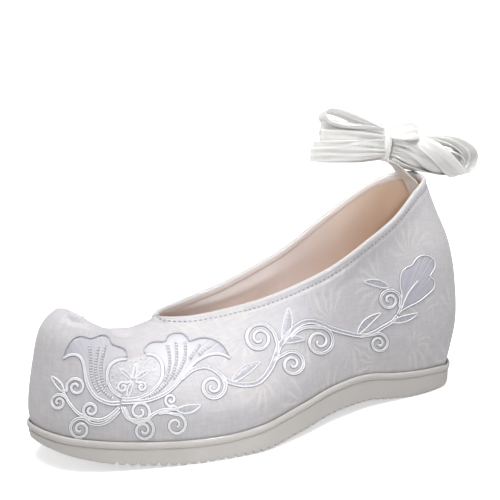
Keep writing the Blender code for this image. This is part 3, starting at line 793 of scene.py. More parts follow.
# Brocade: slubbed ground with feathery figures woven in, each a fan of fine strokes round its own centre.
FIGURE_SIZE = 0.031
FIGURE_SHARE = 0.46
FIGURE_SCATTER = 0.9
FIGURES_FROM = 0.075
FIGURES_FULL = 0.115
FIGURE_STROKES = 14.0
FIGURE_STROKE_FULL = 0.9
FIGURE_CURL = 7.0
FIGURE_TURN = 6.3
FIGURE_LEAN = (-0.25, 0.35)
FIGURE_HEART = (0.06, 0.18)
FIGURE_FADE = (0.62, 0.42)
FIGURE_RELIEF = 0.5
BEND_SCALE = 70.0
BEND_REACH = 0.011
BROCADE_CLOUD_SCALE = 22.0
BROCADE_CREAM_SHARE = 0.8
BROCADE_COARSE = {"Threads": 900.0, "Length": 130.0}
BROCADE_COARSE_SPAN = (0.40, 0.60)
BROCADE_FINE = {"Threads": 2200.0, "Length": 260.0}
BROCADE_ROUGH = (0.58, 0.40)
BROCADE_BUMP = (0.35, 0.0003)
brocade, tree, shader = new_finish(
    "white_brocade", Sheen_Weight=0.12, Sheen_Roughness=0.4, Specular_IOR_Level=0.4,
)
cloth = node(tree, "UVMap", uv_map="cloth").outputs["UV"]
spot = node(tree, "TexCoord").outputs["Object"]
bend = node(tree, "TexNoise", {"Vector": cloth, "Scale": BEND_SCALE, "Detail": 2.0}).outputs["Color"]
bend = vector_of(tree, "SUBTRACT", bend, (0.5, 0.5, 0.5))
bend = node(tree, "VectorMath", {0: bend, "Scale": BEND_REACH}, operation="SCALE").outputs[0]
bent = vector_of(tree, "ADD", cloth, bend)
flock = node(
    tree, "TexVoronoi", {"Vector": bent, "Scale": 1.0 / FIGURE_SIZE, "Randomness": FIGURE_SCATTER},
    voronoi_dimensions="2D",
)
axis = node(tree, "SeparateXYZ", {0: vector_of(tree, "SUBTRACT", bent, flock.outputs["Position"])})
angle = math_of(tree, "ARCTAN2", axis.outputs[1], axis.outputs[0])
away = flock.outputs["Distance"]
curl = math_of(tree, "MULTIPLY", away, FIGURE_CURL)
stroke = math_of(tree, "ADD", math_of(tree, "MULTIPLY", angle, FIGURE_STROKES), curl)
stroke = ramp(tree, math_of(tree, "SINE", stroke), 0.0, FIGURE_STROKE_FULL)
lean = node(tree, "SeparateXYZ", {0: flock.outputs["Color"]}).outputs[0]
lean = math_of(tree, "SUBTRACT", angle, math_of(tree, "MULTIPLY", lean, FIGURE_TURN))
lean = ramp(tree, math_of(tree, "COSINE", lean), *FIGURE_LEAN)
fan = ramp(tree, away, *FIGURE_HEART)
fade = ramp(tree, away, *FIGURE_FADE)
spread = math_of(tree, "MULTIPLY", fan, fade)
figure = math_of(tree, "MULTIPLY", math_of(tree, "MULTIPLY", stroke, lean), spread)
from_toe = node(tree, "SeparateXYZ", {0: cloth}).outputs[0]
figure = math_of(tree, "MULTIPLY", figure, ramp(tree, from_toe, FIGURES_FROM, FIGURES_FULL))
ground = use_group(tree, tint, {
    "Place": spot, "Scale": BROCADE_CLOUD_SCALE, "Base": BROCADE_WHITE, "Other": BROCADE_CREAM,
    "Share": BROCADE_CREAM_SHARE,
})
coarse = ramp(tree, use_group(tree, slubs, {"Cloth": cloth, **BROCADE_COARSE}), *BROCADE_COARSE_SPAN)
ground = mixed(tree, coarse, BROCADE_SHADE, ground)
tone = mixed(tree, math_of(tree, "MULTIPLY", figure, FIGURE_SHARE), ground, BROCADE_FIGURE)
thread = use_group(tree, slubs, {"Cloth": cloth, **BROCADE_FINE})
relief = math_of(tree, "ADD", thread, math_of(tree, "MULTIPLY", figure, FIGURE_RELIEF))
dress(tree, shader, tone, figure, BROCADE_ROUGH, relief, BROCADE_BUMP)

# Lining: close plain weave, almost smooth. Its beige carries painted light and shade: it is palest in the
# middle of the shoe, and painted shade turns it tan towards the heel and into the toe.
LINING_CLOUD_SCALE = 26.0
LINING_CLOUD_REACH = 0.02
LINING_WEAVE_SCALE = 1900.0
LINING_ROUGH = (0.55, 0.72)
LINING_BUMP = (0.2, 0.0002)
lining, tree, shader = new_finish("beige_lining", Sheen_Weight=0.1, Specular_IOR_Level=0.3)
spot = node(tree, "TexCoord").outputs["Object"]
cloud = noise(tree, spot, LINING_CLOUD_SCALE, 3.0)
heelward = node(tree, "SeparateXYZ", {0: spot}).outputs[0]
heelward = math_of(tree, "ADD", heelward, math_of(tree, "MULTIPLY", cloud, LINING_CLOUD_REACH))
lining_painted_shade = ramp(tree, heelward, LINING_LIT_PALE_TO, LINING_SHADE_TAN_FROM)
throat = ramp(tree, heelward, LINING_THROAT_FROM, LINING_THROAT_TO, to_high=LINING_THROAT_SHARE)
lining_painted_shade = math_of(tree, "MAXIMUM", lining_painted_shade, throat)
weave = noise(tree, spot, LINING_WEAVE_SCALE)
dress(tree, shader, mixed(tree, lining_painted_shade, LINING_LIT_PALE, LINING_SHADE_TAN), weave, LINING_ROUGH, weave, LINING_BUMP)

upper_piece = add_mesh("upper_wall", upper_points, upper_faces, [brocade, lining], upper_slots, upper_uv)
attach(upper_piece, "root")
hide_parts("upper")


# Insole. A foam wedge under a lined footbed, high at the heel and thin at the forefoot, dropped into the
# upper and cemented to the sole.

FOOTBED_GAP = 0.5
FOOTBED_DISH = 1.6
FOOTBED_COLUMNS_ACROSS = 26
FOOTBED_EDGE_ROUND = 1.5
FOOTBED_NARROWEST = 1.0
DISH_PER_WIDTH = 12
FOOTBED_COLUMNS = ("from_toe", "z")
FOOTBED = [
    (0.0, 23.5),
    (30.0, 16.8),
    (60.0, 15.4),
    (92.0, 16.2),
    (125.0, 26.0),
    (160.0, 41.0),
    (195.0, 52.0),
    (220.0, 55.0),
    (245.0, 55.5),
]
FOOTBED_BASE = (0.76, 0.63, 0.56, 1.0)
FOOTBED_PALE = (0.84, 0.72, 0.66, 1.0)
FOOTBED_CLOUD_SCALE = 30.0
FOOTBED_NAP = {"Threads": 1500.0, "Length": 500.0}
FOOTBED_ROUGH = (0.60, 0.78)
FOOTBED_BUMP = (0.4, 0.0003)


def at_height(line, height):
    """Plan position at which one section of the wall reaches a height."""
    rising_z = np.maximum.accumulate(line[:, 2])
    return np.array([np.interp(height, rising_z, line[:, k]) for k in range(2)])


footbed_wall = outer_grid - (WALL + FOOTBED_GAP) * outer_normals
bed_lines = []
bed_lengths = column(FOOTBED, FOOTBED_COLUMNS, "from_toe")
bed_heights = column(FOOTBED, FOOTBED_COLUMNS, "z")
for i in range(half_ring + 1):
    lateral_line = footbed_wall[i]
    medial_line = footbed_wall[(full_ring - i) % full_ring]
    bed_z = float(smooth(bed_lengths, bed_heights, lateral_line[0, 0]))
    foot_z = lateral_line[0, 2] + FIT_GAP
    start, end = at_height(lateral_line, bed_z), at_height(medial_line, bed_z)
    low_start, low_end = at_height(lateral_line, foot_z), at_height(medial_line, foot_z)
    width = float(np.linalg.norm(end - start))
    shares = np.linspace(0.0, 1.0, FOOTBED_COLUMNS_ACROSS + 1)
    from_edge = np.minimum(shares, 1 - shares) * width
    edge = np.clip(from_edge / FOOTBED_EDGE_ROUND, 0.0, 1.0)
    drop = np.zeros(len(shares))
    if width > FOOTBED_NARROWEST:
        drop = FOOTBED_EDGE_ROUND * (1 - np.sqrt(1 - (1 - edge) ** 2))
    dish = min(FOOTBED_DISH, width / DISH_PER_WIDTH) * np.sin(math.pi * shares) ** 2
    plan = start + shares[:, None] * (end - start)
    top_points = np.column_stack([plan, bed_z - drop - dish])
    bed_lines.append(np.concatenate([[[*low_start, foot_z]], top_points, [[*low_end, foot_z]]]))
bed_grid = np.array(bed_lines)
bed_rows, bed_columns = bed_grid.shape[:2]
bed_faces = [face[::-1] for face in grid_faces(bed_rows, bed_columns, close_columns=True)]
bed_faces.append(list(range(bed_columns)))
bed_faces.append([(bed_rows - 1) * bed_columns + j for j in range(bed_columns)][::-1])

footbed_cloth, tree, shader = new_finish("footbed_cloth", Sheen_Weight=0.15, Specular_IOR_Level=0.3)
spot = node(tree, "TexCoord").outputs["Object"]
tone = use_group(tree, tint, {
    "Place": spot, "Scale": FOOTBED_CLOUD_SCALE, "Base": FOOTBED_BASE, "Other": FOOTBED_PALE, "Share": 1.0,
})
nap = use_group(tree, slubs, {"Cloth": spot, **FOOTBED_NAP})
dress(tree, shader, tone, nap, FOOTBED_ROUGH, nap, FOOTBED_BUMP)

footbed_piece = add_mesh("footbed", place(bed_grid.reshape(-1, 3)), bed_faces, [footbed_cloth])
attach(footbed_piece, "root")
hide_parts("insole")


# Collar edge. The brocade is turned over a cord at the rim of the opening, which gives a full rounded edge,
# and is held by one row of stitches below it.

EDGE_OUTER_LEG = 1.6
EDGE_INNER_LEG = 3.0
EDGE_PROUD = 0.2
EDGE_SIDES = 9
EDGE_FULLNESS = 1.15
EDGE_TUCK = 0.1
EDGE_LEG_PROUD = 0.6
EDGE_LEG_RISE = 0.15
EDGE_CREST = 6
EDGE_GIRTH = 9.0
EDGE_WHITE = (0.61, 0.595, 0.605, 1.0)
# Inside the rim the edge is the lining's pink with painted light on it. This makes it much lighter than the
# outer leg and lifts the shaded inner side.
EDGE_PINK_LIT = (0.93, 0.875, 0.86, 1.0)
EDGE_FOLD = 0.0064
EDGE_FOLD_BLUR = 0.001
EDGE_WEAVE = {"Threads": 2200.0, "Length": 320.0}
EDGE_ROUGH = (0.42, 0.58)
EDGE_BUMP = (0.3, 0.0003)
STITCH_BELOW = COLLAR_GROOVE_BELOW
STITCH_LENGTH = 1.5
STITCH_PITCH = 2.5
STITCH_RADIUS = 0.27
STITCH_SIDES = 6
STITCH_STEPS = 6
STITCH_START = 0.2
STITCH_ARCH = 0.22
STITCH_SUNK = 0.1
STITCH_ENDS = 0.45
STITCH_TWIST = {"Plies": 9000.0, "Slant": 1500.0}
STITCH_ROUGH = (0.6, 0.5)
# Grey thread, darker between its plies: painted shade in its twist.
STITCH_GREY_SHADED = (0.24, 0.235, 0.255, 1.0)
STITCH_PALE = (0.40, 0.39, 0.42, 1.0)

collar_ring = np.arange(VAMP_STEPS, full_ring - VAMP_STEPS)


def down_the_wall(i, below):
    """Row on the wall, with its fraction, at a distance below the rim."""
    run = up_run[i]
    return float(np.interp(run[-1] - below, run, np.arange(wall_columns)))


def on_grid(grid, ring, row):
    """Point of a grid at a ring and row position with fractions; the ring closes on itself."""
    ring, row = np.asarray(ring, float), np.clip(np.asarray(row, float), 0, wall_columns - 1.001)
    i, j = np.floor(ring).astype(int), np.floor(row).astype(int)
    s, t = (ring - i)[..., None], (row - j)[..., None]
    low = (1 - s) * grid[i % full_ring, j] + s * grid[(i + 1) % full_ring, j]
    high = (1 - s) * grid[i % full_ring, j + 1] + s * grid[(i + 1) % full_ring, j + 1]
    return (1 - t) * low + t * high


def run_along(line):
    """Length run along a line of points, from its first."""
    return np.concatenate([[0.0], np.cumsum(np.linalg.norm(np.diff(line, axis=0), axis=1))])


def cloth_grid(along, across):
    """Cloth coordinates of a grid, from the lengths of its rows and of its columns."""
    return np.stack(np.meshgrid(along, across, indexing="ij"), axis=2)


edge_sections = []
for i in collar_ring:
    low_row, mid_row = (down_the_wall(i, EDGE_OUTER_LEG * share) for share in (1.0, 0.5))
    inner_low_row, inner_mid_row = (down_the_wall(i, EDGE_INNER_LEG * share) for share in (1.0, 0.5))
    outward = outer_normals[i, -1]
    rim_outer, rim_inner = outer_grid[i, -1], inner_grid[i, -1]
    upward = outer_grid[i, -1] - outer_grid[i, -4]
    upward /= np.linalg.norm(upward)
    leg = EDGE_LEG_PROUD * EDGE_PROUD * outward
    rise = EDGE_LEG_RISE * upward
    section = [
        on_grid(outer_grid, i, low_row) - EDGE_TUCK * outward,
        on_grid(outer_grid, i, low_row) + leg + rise,
        on_grid(outer_grid, i, mid_row) + EDGE_PROUD * outward,
    ]
    middle = (rim_outer + rim_inner) / 2
    radius = WALL / 2 + EDGE_PROUD
    for t in np.linspace(0.0, math.pi, EDGE_SIDES):
        section.append(middle + radius * (math.cos(t) * outward + EDGE_FULLNESS * math.sin(t) * upward))
    section += [
        on_grid(inner_grid, i, inner_mid_row) - EDGE_PROUD * outward,
        on_grid(inner_grid, i, inner_low_row) - leg + rise,
        on_grid(inner_grid, i, inner_low_row) + EDGE_TUCK * outward,
    ]
    edge_sections.append(section)
edge_grid = np.array(edge_sections)
edge_count, edge_columns = edge_grid.shape[:2]
edge_faces = grid_faces(edge_count, edge_columns, close_rows=True, close_columns=True)
edge_run = run_along(edge_grid[:, EDGE_CREST])
edge_uv = cloth_grid(edge_run, np.linspace(0.0, EDGE_GIRTH, edge_columns)).reshape(-1, 2) * MM

edge_cloth, tree, shader = new_finish("collar_edge_cloth", Sheen_Weight=0.12, Specular_IOR_Level=0.4)
cloth = node(tree, "UVMap", uv_map="cloth").outputs["UV"]
girth = node(tree, "SeparateXYZ", {0: cloth}).outputs[1]
# White outside the rim; inside it, pink with painted light.
inside_edge_lit = ramp(tree, girth, EDGE_FOLD - EDGE_FOLD_BLUR, EDGE_FOLD)
thread = use_group(tree, slubs, {"Cloth": cloth, **EDGE_WEAVE})
dress(tree, shader, mixed(tree, inside_edge_lit, EDGE_WHITE, EDGE_PINK_LIT), thread, EDGE_ROUGH, thread, EDGE_BUMP)

edge_piece = add_mesh("collar_edge", place(edge_grid.reshape(-1, 3)), edge_faces, [edge_cloth], uv=edge_uv)
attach(edge_piece, "root")
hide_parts("collar_binding")


def unit(vectors):
    return vectors / np.maximum(np.linalg.norm(vectors, axis=-1), LEAST_LENGTH)[..., None]


def lying_tube(line, normals, section, swell):
    """Points of a tube laid along a line on the cloth; its section is given as (across, up) pairs."""
    run = unit(np.gradient(line, axis=0))
    aside = unit(np.cross(normals, run))
    section = np.asarray(section, float)
    return (
        line[:, None]
        + (swell[:, None] * section[None, :, 0])[..., None] * aside[:, None]
        + (swell[:, None] * section[None, :, 1])[..., None] * normals[:, None]
    )


class Bundle:
    """Gathers many small grids of points into the points, faces and cloth coordinates of one mesh."""

    def __init__(self):
        self.points, self.faces, self.uv, self.count = [], [], [], 0

    def add_grid(self, grid, uv, close_columns, capped):
        rows, columns = grid.shape[:2]
        self.faces += list(grid_faces(rows, columns, close_columns=close_columns, start=self.count))
        if capped:
            self.faces.append([self.count + j for j in range(columns)][::-1])
            self.faces.append([self.count + (rows - 1) * columns + j for j in range(columns)])
        self.take(grid.reshape(-1, 3), uv.reshape(-1, 2))

    def take(self, points, uv):
        self.points.append(points)
        self.uv.append(uv)
        self.count += len(points)

    def build(self, name, finishes):
        points, uv = place(np.concatenate(self.points)), np.concatenate(self.uv) * MM
        return add_mesh(name, points, self.faces, finishes, uv=uv)


stitch_turns = np.arange(STITCH_SIDES) * 2 * math.pi / STITCH_SIDES
stitch_section = STITCH_RADIUS * np.column_stack([np.cos(stitch_turns), np.sin(stitch_turns)])
stitches = Bundle()
stitch_rows = [down_the_wall(i, STITCH_BELOW) for i in collar_ring]
stitch_line = np.array([on_grid(outer_grid, i, row) for i, row in zip(collar_ring, stitch_rows)])
stitch_out = np.array([outer_normals[i, int(row)] for i, row in zip(collar_ring, stitch_rows)])
stitch_run = run_along(stitch_line)
for number in range(int(stitch_run[-1] / STITCH_PITCH)):
    shares = np.linspace(0.0, 1.0, STITCH_STEPS)
    wanted = (number + STITCH_START) * STITCH_PITCH + shares * STITCH_LENGTH
    line = np.column_stack([np.interp(wanted, stitch_run, stitch_line[:, k]) for k in range(3)])
    out = unit(np.column_stack([np.interp(wanted, stitch_run, stitch_out[:, k]) for k in range(3)]))
    arch = np.sin(math.pi * shares)
    lift = STITCH_ARCH * arch - STITCH_SUNK
    swell = STITCH_ENDS + (1 - STITCH_ENDS) * arch ** 0.5
    tube = lying_tube(line + lift[:, None] * out, out, stitch_section, swell)
    uv = cloth_grid(shares * STITCH_LENGTH, np.arange(float(STITCH_SIDES)))
    stitches.add_grid(tube[:, ::-1], uv, close_columns=True, capped=True)

# Twisted thread: slanting plies across the cord, from its own length and girth.
twist, twist_in, twist_out = new_group(
    "twisted_thread", [("Cloth", "Vector"), ("Plies", "Float"), ("Slant", "Float")], [("Height", "Float")],
)
twist_axis = node(twist, "SeparateXYZ", {0: twist_in.outputs["Cloth"]})
twist_along = math_of(twist, "MULTIPLY", twist_axis.outputs[0], twist_in.outputs["Plies"])
twist_round = math_of(twist, "MULTIPLY", twist_axis.outputs[1], twist_in.outputs["Slant"])
twist_wave = math_of(twist, "SINE", math_of(twist, "ADD", twist_along, twist_round))
twist.links.new(ramp(twist, twist_wave, -1.0, 1.0), twist_out.inputs["Height"])

stitch_thread, tree, shader = new_finish("collar_stitch_thread", Specular_IOR_Level=0.3)
cloth = node(tree, "UVMap", uv_map="cloth").outputs["UV"]
ply = use_group(tree, twist, {"Cloth": cloth, **STITCH_TWIST})
# Darker between the plies: painted shade in the twist.
dress(tree, shader, mixed(tree, ply, STITCH_GREY_SHADED, STITCH_PALE), ply, STITCH_ROUGH)
stitch_piece = stitches.build("collar_stitches", [stitch_thread])
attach(stitch_piece, "root")


# Embroidery. Scrolls, leaves and scalloped petals worked in lilac satin stitch and edged with couched white
# cord, along the outer side of the upper and mirrored on the inner side. Drawn in pixels of the photograph
# and laid on the cloth along the camera's lines of sight.

CORD_SECTION_COLUMNS = ("across", "up")
CORD_SECTION = [
    (0.50, -0.25), (0.50, 0.20), (0.36, 0.62), (0.13, 0.82),
    (-0.13, 0.82), (-0.36, 0.62), (-0.50, 0.20), (-0.50, -0.25),
]
CORD_ENDS = 0.35
CORD_WIDTH = 0.7
FINE_CORD_WIDTH = 0.58
LEAF_CORD_WIDTH = 1.15 * FINE_CORD_WIDTH
LEAF_VEIN_WIDTH = 0.8 * FINE_CORD_WIDTH
PETAL_CORD_WIDTH = 1.5 * FINE_CORD_WIDTH
TICK_WIDTH = 0.48
TICK_LIFT = 0.34
# The grey underlay reaches past the cords. It is partly thread and partly a painted shadow along their
# edges.
UNDERLAY_SHADOW_BEYOND = 1.2
UNDERLAY_HEIGHT = 0.1
UNDERLAY_EDGE = 0.06
LEAF_UNDERLAY_SHADOW_BEYOND = 0.8 * UNDERLAY_SHADOW_BEYOND
CORD_STEP = 1.1
FILL_HEIGHT = 0.32
FILL_SUNK = 0.25
FILL_EDGE_SUNK = 0.05
FILL_FROM_EDGE = 0.55
FILL_DOME = 0.6
LEAF_FILL_HEIGHT = 1.2 * FILL_HEIGHT
LEAF_LEAN = 0.85
LEAF_ROUND = 0.8
LEAF_FEWEST_STEPS = 8
LEAF_VEIN_FROM = 2.5
LEAF_VEIN_START = 2
LEAF_VEIN_REACH = 0.8
FILL_STEP = 2.4
FILL_WELD = 1e-4
FAN_SPREAD = 0.5
FILL_SHOULDER = 2.2
VINE_FILL_HEIGHT = 0.24
VINE_FILL_FROM = 2.0
FIELD_HEIGHT = 0.14
FIELD_PALE = 0.4
SEED_SPACING = 3.4
SEED_LENGTH = 2.1
SEED_FROM_EDGE = 3.0
SEED_WIDTH = 0.52
SEED_TURN = math.radians(137.5)
BAND_COLUMNS_ACROSS = 5
SHORT_STITCH_POINTS = 4
CURL_STEPS_PER_TURN = 11
CURL_EYE = 0.12
CURL_TIGHTENING = 0.85
CURL_WIDEST_AT = 0.35
CURL_WIDEST = 1.1
CURL_END_WIDTH = 0.9
CURVE_STEPS = 12
CURVE_FEWEST_STEPS = 4
CORD_WHITE = (0.97, 0.97, 0.98, 1.0)
CORD_SHADE = (0.85, 0.85, 0.88, 1.0)
OUTLINE_LILAC = (0.43, 0.425, 0.465, 1.0)
OUTLINE_PALE = (0.55, 0.54, 0.575, 1.0)
SATIN_LILAC = (0.46, 0.45, 0.535, 1.0)
SATIN_PALE = (0.65, 0.645, 0.67, 1.0)
# Grey underlay thread, partly a painted shadow beside the cords.
UNDERLAY_SHADOW_GREY = (0.22, 0.21, 0.245, 1.0)
UNDERLAY_SHADOW_LILAC = (0.33, 0.32, 0.375, 1.0)
CORD_TWIST = {"Plies": 7000.0, "Slant": 900.0}
CORD_ROUGH = (0.52, 0.36)
CORD_BUMP = (0.4, 0.0002)
SATIN_STRANDS = 900.0
SATIN_STRAND_SPAN = {"low": 0.36, "high": 0.64, "to_low": 0.35, "to_high": 1.1}
SATIN_FULL_SPAN = (0.60, 1.0)
SATIN_CLOUD_SCALE = 240.0
SATIN_CLOUD_LIFT = 0.45
SATIN_ROUGH = (0.30, 0.48)
SATIN_BUMP = (0.5, 0.0003)

# The two inner edges of the pair of petals, which enclose a pale seeded field.
FRONT_PETAL_EDGE = [
    (127, 359.3), (120, 359.8), (113.5, 362.3), (109, 367.3), (107, 374), (107.8, 381.3), (111, 388.4),
    (116, 393.6), (122, 396.8),
]
NEXT_PETAL_EDGE = [
    (146, 354.6), (152, 354.9), (157.5, 357.8), (161.3, 363), (162.8, 370), (161.9, 377.5),
    (158.2, 384.5), (152, 391), (144, 395.8), (136, 398.4), (128, 399.3), (121, 399),
]

# Vines: two cords with satin between. Width between the cords at each end, the run in pixels, and the
# curl at its end as centre x, centre y, radius, starting angle and signed turns.
VINE_COLUMNS = ("wide_start", "wide_end", "run", "curl")
VINES = [
    (0.8, 3.0, [
        (63, 358.6), (69, 355.2), (75.5, 354.6), (80.5, 357.5), (83.4, 364), (84.8, 372), (86.6, 381.5),
        (90, 389.5), (95.5, 396.5), (103, 401), (111.5, 403.4), (120.5, 403),
    ], None),
    (3.0, 0.8, [
        (121, 402.2), (137.5, 401.8), (150, 399.8), (160, 396.2), (168.5, 391.5), (176, 385), (182, 377.5),
        (188.5, 369), (197, 361), (207, 355.6), (216, 353.8), (223.8, 355), (230.6, 358.8),
    ], None),
    (1.2, 2.2, FRONT_PETAL_EDGE, None),
    (1.2, 2.4, NEXT_PETAL_EDGE, None),
    (3.0, 2.6, [(181.5, 379), (190, 371.5), (198, 367.8), (206, 367), (213, 369.3), (219, 373.6)],
     (212.8, 386.6, 13.4, -48, 1.75)),
    (3.2, 4.6, [
        (221, 375.5), (226, 380), (233, 383), (245, 384.8), (256.5, 383), (264.5, 376.8), (271, 367),
        (275.5, 356), (279, 345.5),
    ], None),
    (2.2, 2.0, [(276.5, 353), (277.6, 346), (276, 338.5)], (259.3, 338.3, 15.2, -28, -1.85)),
    (2.2, 2.0, [(274, 362), (278.5, 357)], (292.3, 364, 13.2, -140, 1.75)),
    (4.4, 2.2, [
        (280, 345), (287, 336), (295, 328), (303.5, 322.8), (313.3, 321.7), (323.3, 325), (333.3, 329.2),
        (345, 332.5), (356.7, 335), (366.7, 335), (375, 331.7), (383.3, 326.7), (391.7, 321.7), (397.5, 315),
    ], None),
    (1.8, 1.8, [(290, 338.5), (297, 331.5), (305, 327.6)], (319.4, 341.6, 15.0, -105, 1.85)),
    (1.6, 1.4, [(360, 337), (367, 335.4)], (378.6, 343.2, 10.4, -125, 1.7)),
    (1.8, 1.8, [(397.5, 315), (400.4, 308)], (389.4, 300.2, 11.6, 28, -1.8)),
    (2.2, 1.6, [
        (119.5, 407), (114.5, 412), (107, 417.4), (98.8, 420), (90, 418.1), (82.5, 415.6), (76.3, 411.3),
        (70, 403.8), (65.6, 396.3), (63.4, 391),
    ], (76, 387, 9.8, 160, 1.6)),
    (1.6, 1.4, [(68.5, 401), (65.4, 396.8)], (58.9, 402.2, 8.4, -42, -1.6)),
    (1.6, 1.4, [(92, 419.6), (86.5, 417)], (90.8, 410, 8.0, 122, 1.5)),
    (2.0, 1.8, [(119.5, 410.5), (114, 416.5), (107, 421.8), (98.8, 424.2)], (80.2, 428.9, 11.6, -32, -1.75)),
    (2.2, 1.6, [(122.4, 406.5), (124.3, 413), (129, 418.8)], (143.6, 430, 11.4, -118, 1.8)),
    (1.6, 1.4, [(124.6, 407), (126.8, 411.6)], (139.6, 411.5, 12.6, 172, -1.7)),
    (2.2, 1.4, [(147.5, 419.6), (152.5, 414.6), (160, 410.8), (168.8, 409.2), (177, 409.6)], None),
    (1.6, 1.4, [(158, 413.5), (166, 412.4)], (175.8, 425, 11.2, -100, 1.5)),
    (1.2, 1.0, [(177.5, 408)], (170.8, 400, 6.6, 62, 1.4)),
    (0.9, 0.8, [(132, 381.2), (128.6, 382)], (122.6, 387.2, 5.6, -50, -1.4)),
    (0.9, 0.8, [(134.8, 381.2), (137.4, 382)], (141.6, 386.8, 4.9, -130, 1.4)),
]

# Leaves: base, tip, half width and sideways bow of the mid line, in pixels.
LEAF_COLUMNS = ("base", "tip", "half_width", "bow")
LEAVES = [
    ((232, 381.8), (260.5, 362), 4.2, -1.6),
    ((282.4, 340), (288.4, 307.5), 4.4, 2.2),
    ((284, 342.5), (304.8, 340), 3.2, -2.0),
    ((357, 334.6), (381, 312.8), 3.4, -2.4),
    ((390.5, 321.6), (418.2, 313), 3.0, 1.4),
    ((389.5, 287.6), (363, 281.6), 3.3, 1.6),
    ((64, 392), (51.4, 376), 2.6, 0.6),
    ((176.3, 409.6), (201, 404.8), 3.8, 2.0),
    ((133.2, 379.6), (136.3, 362.6), 1.9, 0.4),
    ((131.8, 379.8), (119.4, 368.8), 1.8, 0.8),
    ((135.2, 379.8), (150.6, 370.4), 1.9, -0.8),
    ((132.8, 382), (127.6, 397.4), 1.9, 0.8),
]

# Petals: the scalloped margin, the edge back to the base, and the point from which the stitches fan out.
PETAL_COLUMNS = ("margin", "inner_edge", "fan_from")
PETALS = [
    ([
        (63, 358.4), (65, 351.9), (68.1, 345.6), (72.5, 339.4), (77.5, 336.5), (83.8, 336.5),
        (89.4, 338.4), (93.8, 337.5), (98.8, 335.6), (105, 335.6), (109.4, 338.8), (111.5, 343.8),
        (117.5, 346.5), (123.1, 348.8), (126.3, 351.9), (127, 357.5),
    ], [
        (120, 358.8), (112.8, 361.6), (107.8, 367), (105.8, 374), (106.6, 381.6), (110, 389),
        (115, 394.8), (121, 398.6), (120.5, 402.4), (111.5, 403.2), (103, 401), (95.5, 396.5),
        (90, 389.5), (86.6, 381.5), (84.8, 372), (83.4, 364), (80.5, 357.5), (75.5, 354.6), (69, 355.2),
    ], (121, 408)),
    ([
        (144.4, 354), (144.4, 348.8), (147.5, 345), (152.5, 342.5), (158.8, 341.9), (165, 341.5),
        (166.9, 337.5), (171.3, 334.4), (177.5, 333.1), (183.1, 334), (187.5, 337.5), (189.4, 341.3),
        (195, 339.4), (202.5, 337.9), (211.3, 339), (218.8, 342.5), (223.8, 346.9), (226.9, 351.9),
        (230.4, 358.4),
    ], [
        (223.8, 355), (216, 353.8), (207, 355.6), (197, 361), (188.5, 369), (182, 377.5), (176, 385),
        (168.5, 391.5), (160, 396.2), (150, 399.8), (137.5, 401.6), (126, 401.4), (136, 399.6),
        (145, 396.8), (153, 392), (159.4, 385), (163.1, 377.5), (164, 370), (162.4, 362.5), (158, 356.9),
        (152, 354),
    ], (121, 408)),
    ([
        (398.3, 311.7), (400.8, 303.3), (401.7, 295), (400, 285), (400.8, 275), (405, 268.3),
        (411.7, 265), (415, 260), (420.8, 255.8), (428.3, 255.8), (434.2, 260.8), (434.2, 268.3),
        (430.8, 274.2), (430, 276.7), (434.2, 280.8), (433.3, 288.3), (426.7, 295), (418.3, 301.7),
        (408.3, 306.7), (399.6, 311.9),
    ], [], (398, 316)),
]

# Rows of short stitches inside the petals.
TICK_SPACING = 2.7
TICK_LENGTH = 3.2
TICK_ROWS = [
    [(98, 347), (96.5, 357), (95.5, 366), (96.3, 376), (99.5, 385), (105, 392.5), (112, 398)],
    [(105, 345), (103, 354), (101.5, 362), (100.8, 371), (102.2, 380), (106, 388)],
    [(89, 346), (90.5, 355), (90.8, 365), (91.5, 375), (94.5, 385), (99.5, 393)],
    [(176, 343), (176.5, 355), (175.5, 365), (172, 375), (166, 383.5), (158, 391), (148, 396.5)],
    [(167.5, 346), (169.3, 356), (169.3, 366), (167.2, 375), (163.5, 382)],
    [(185, 343), (185.4, 353), (183.5, 362), (179, 371), (173, 379.5)],
    [(200, 345), (195, 352), (189.5, 360)],
    [(211, 346), (204.5, 350), (198, 355.5)],
]
TICK_BED_REACH = 0.6 * TICK_LENGTH
REAR_PETAL_VEIN = [(401.5, 308.5), (404.5, 300.0), (409.0, 291.5), (417.5, 280.6)]

wall_tree = BVHTree.FromPolygons(
    [Vector(p) for p in place(outer_grid.reshape(-1, 3))], [tuple(int(i) for i in f) for f in outer_faces],
)
SHOE_MIDDLE_PIXEL = np.array([250.0, 375.0])
MOVE_IN = 0.01


def pixel_ray(pixel):
    """Direction from the camera through a pixel of the photograph."""
    off = (np.asarray(pixel, float) - PHOTO_PIXELS / 2) / FOCAL_PIXELS
    return (camera_right * float(off[0]) - camera_up * float(off[1]) - back).normalized()


def on_cloth(pixels):
    """Ring and row position on the wall of each pixel; one just off the outline moves in until it lands."""
    found = []
    for pixel in np.asarray(pixels, float):
        hit = None
        tried = pixel.copy()
        while hit is None:
            hit, _, cell, _ = wall_tree.ray_cast(Vector(CAMERA_PLACE), pixel_ray(tried))
            tried = tried + MOVE_IN * (SHOE_MIDDLE_PIXEL - tried)
        i, j = divmod(int(cell), WALL_ROWS)
        corner = place(outer_grid[i, j])
        along = place(outer_grid[(i + 1) % full_ring, j]) - corner
        upward = place(outer_grid[i, j + 1]) - corner
        off = np.array(hit) - corner
        s, t = np.linalg.lstsq(np.column_stack([along, upward]), off, rcond=None)[0]
        ring = i + float(np.clip(s, 0, 1))
        found.append((ring if ring <= half_ring else ring - full_ring, j + float(np.clip(t, 0, 1))))
    return np.array(found)


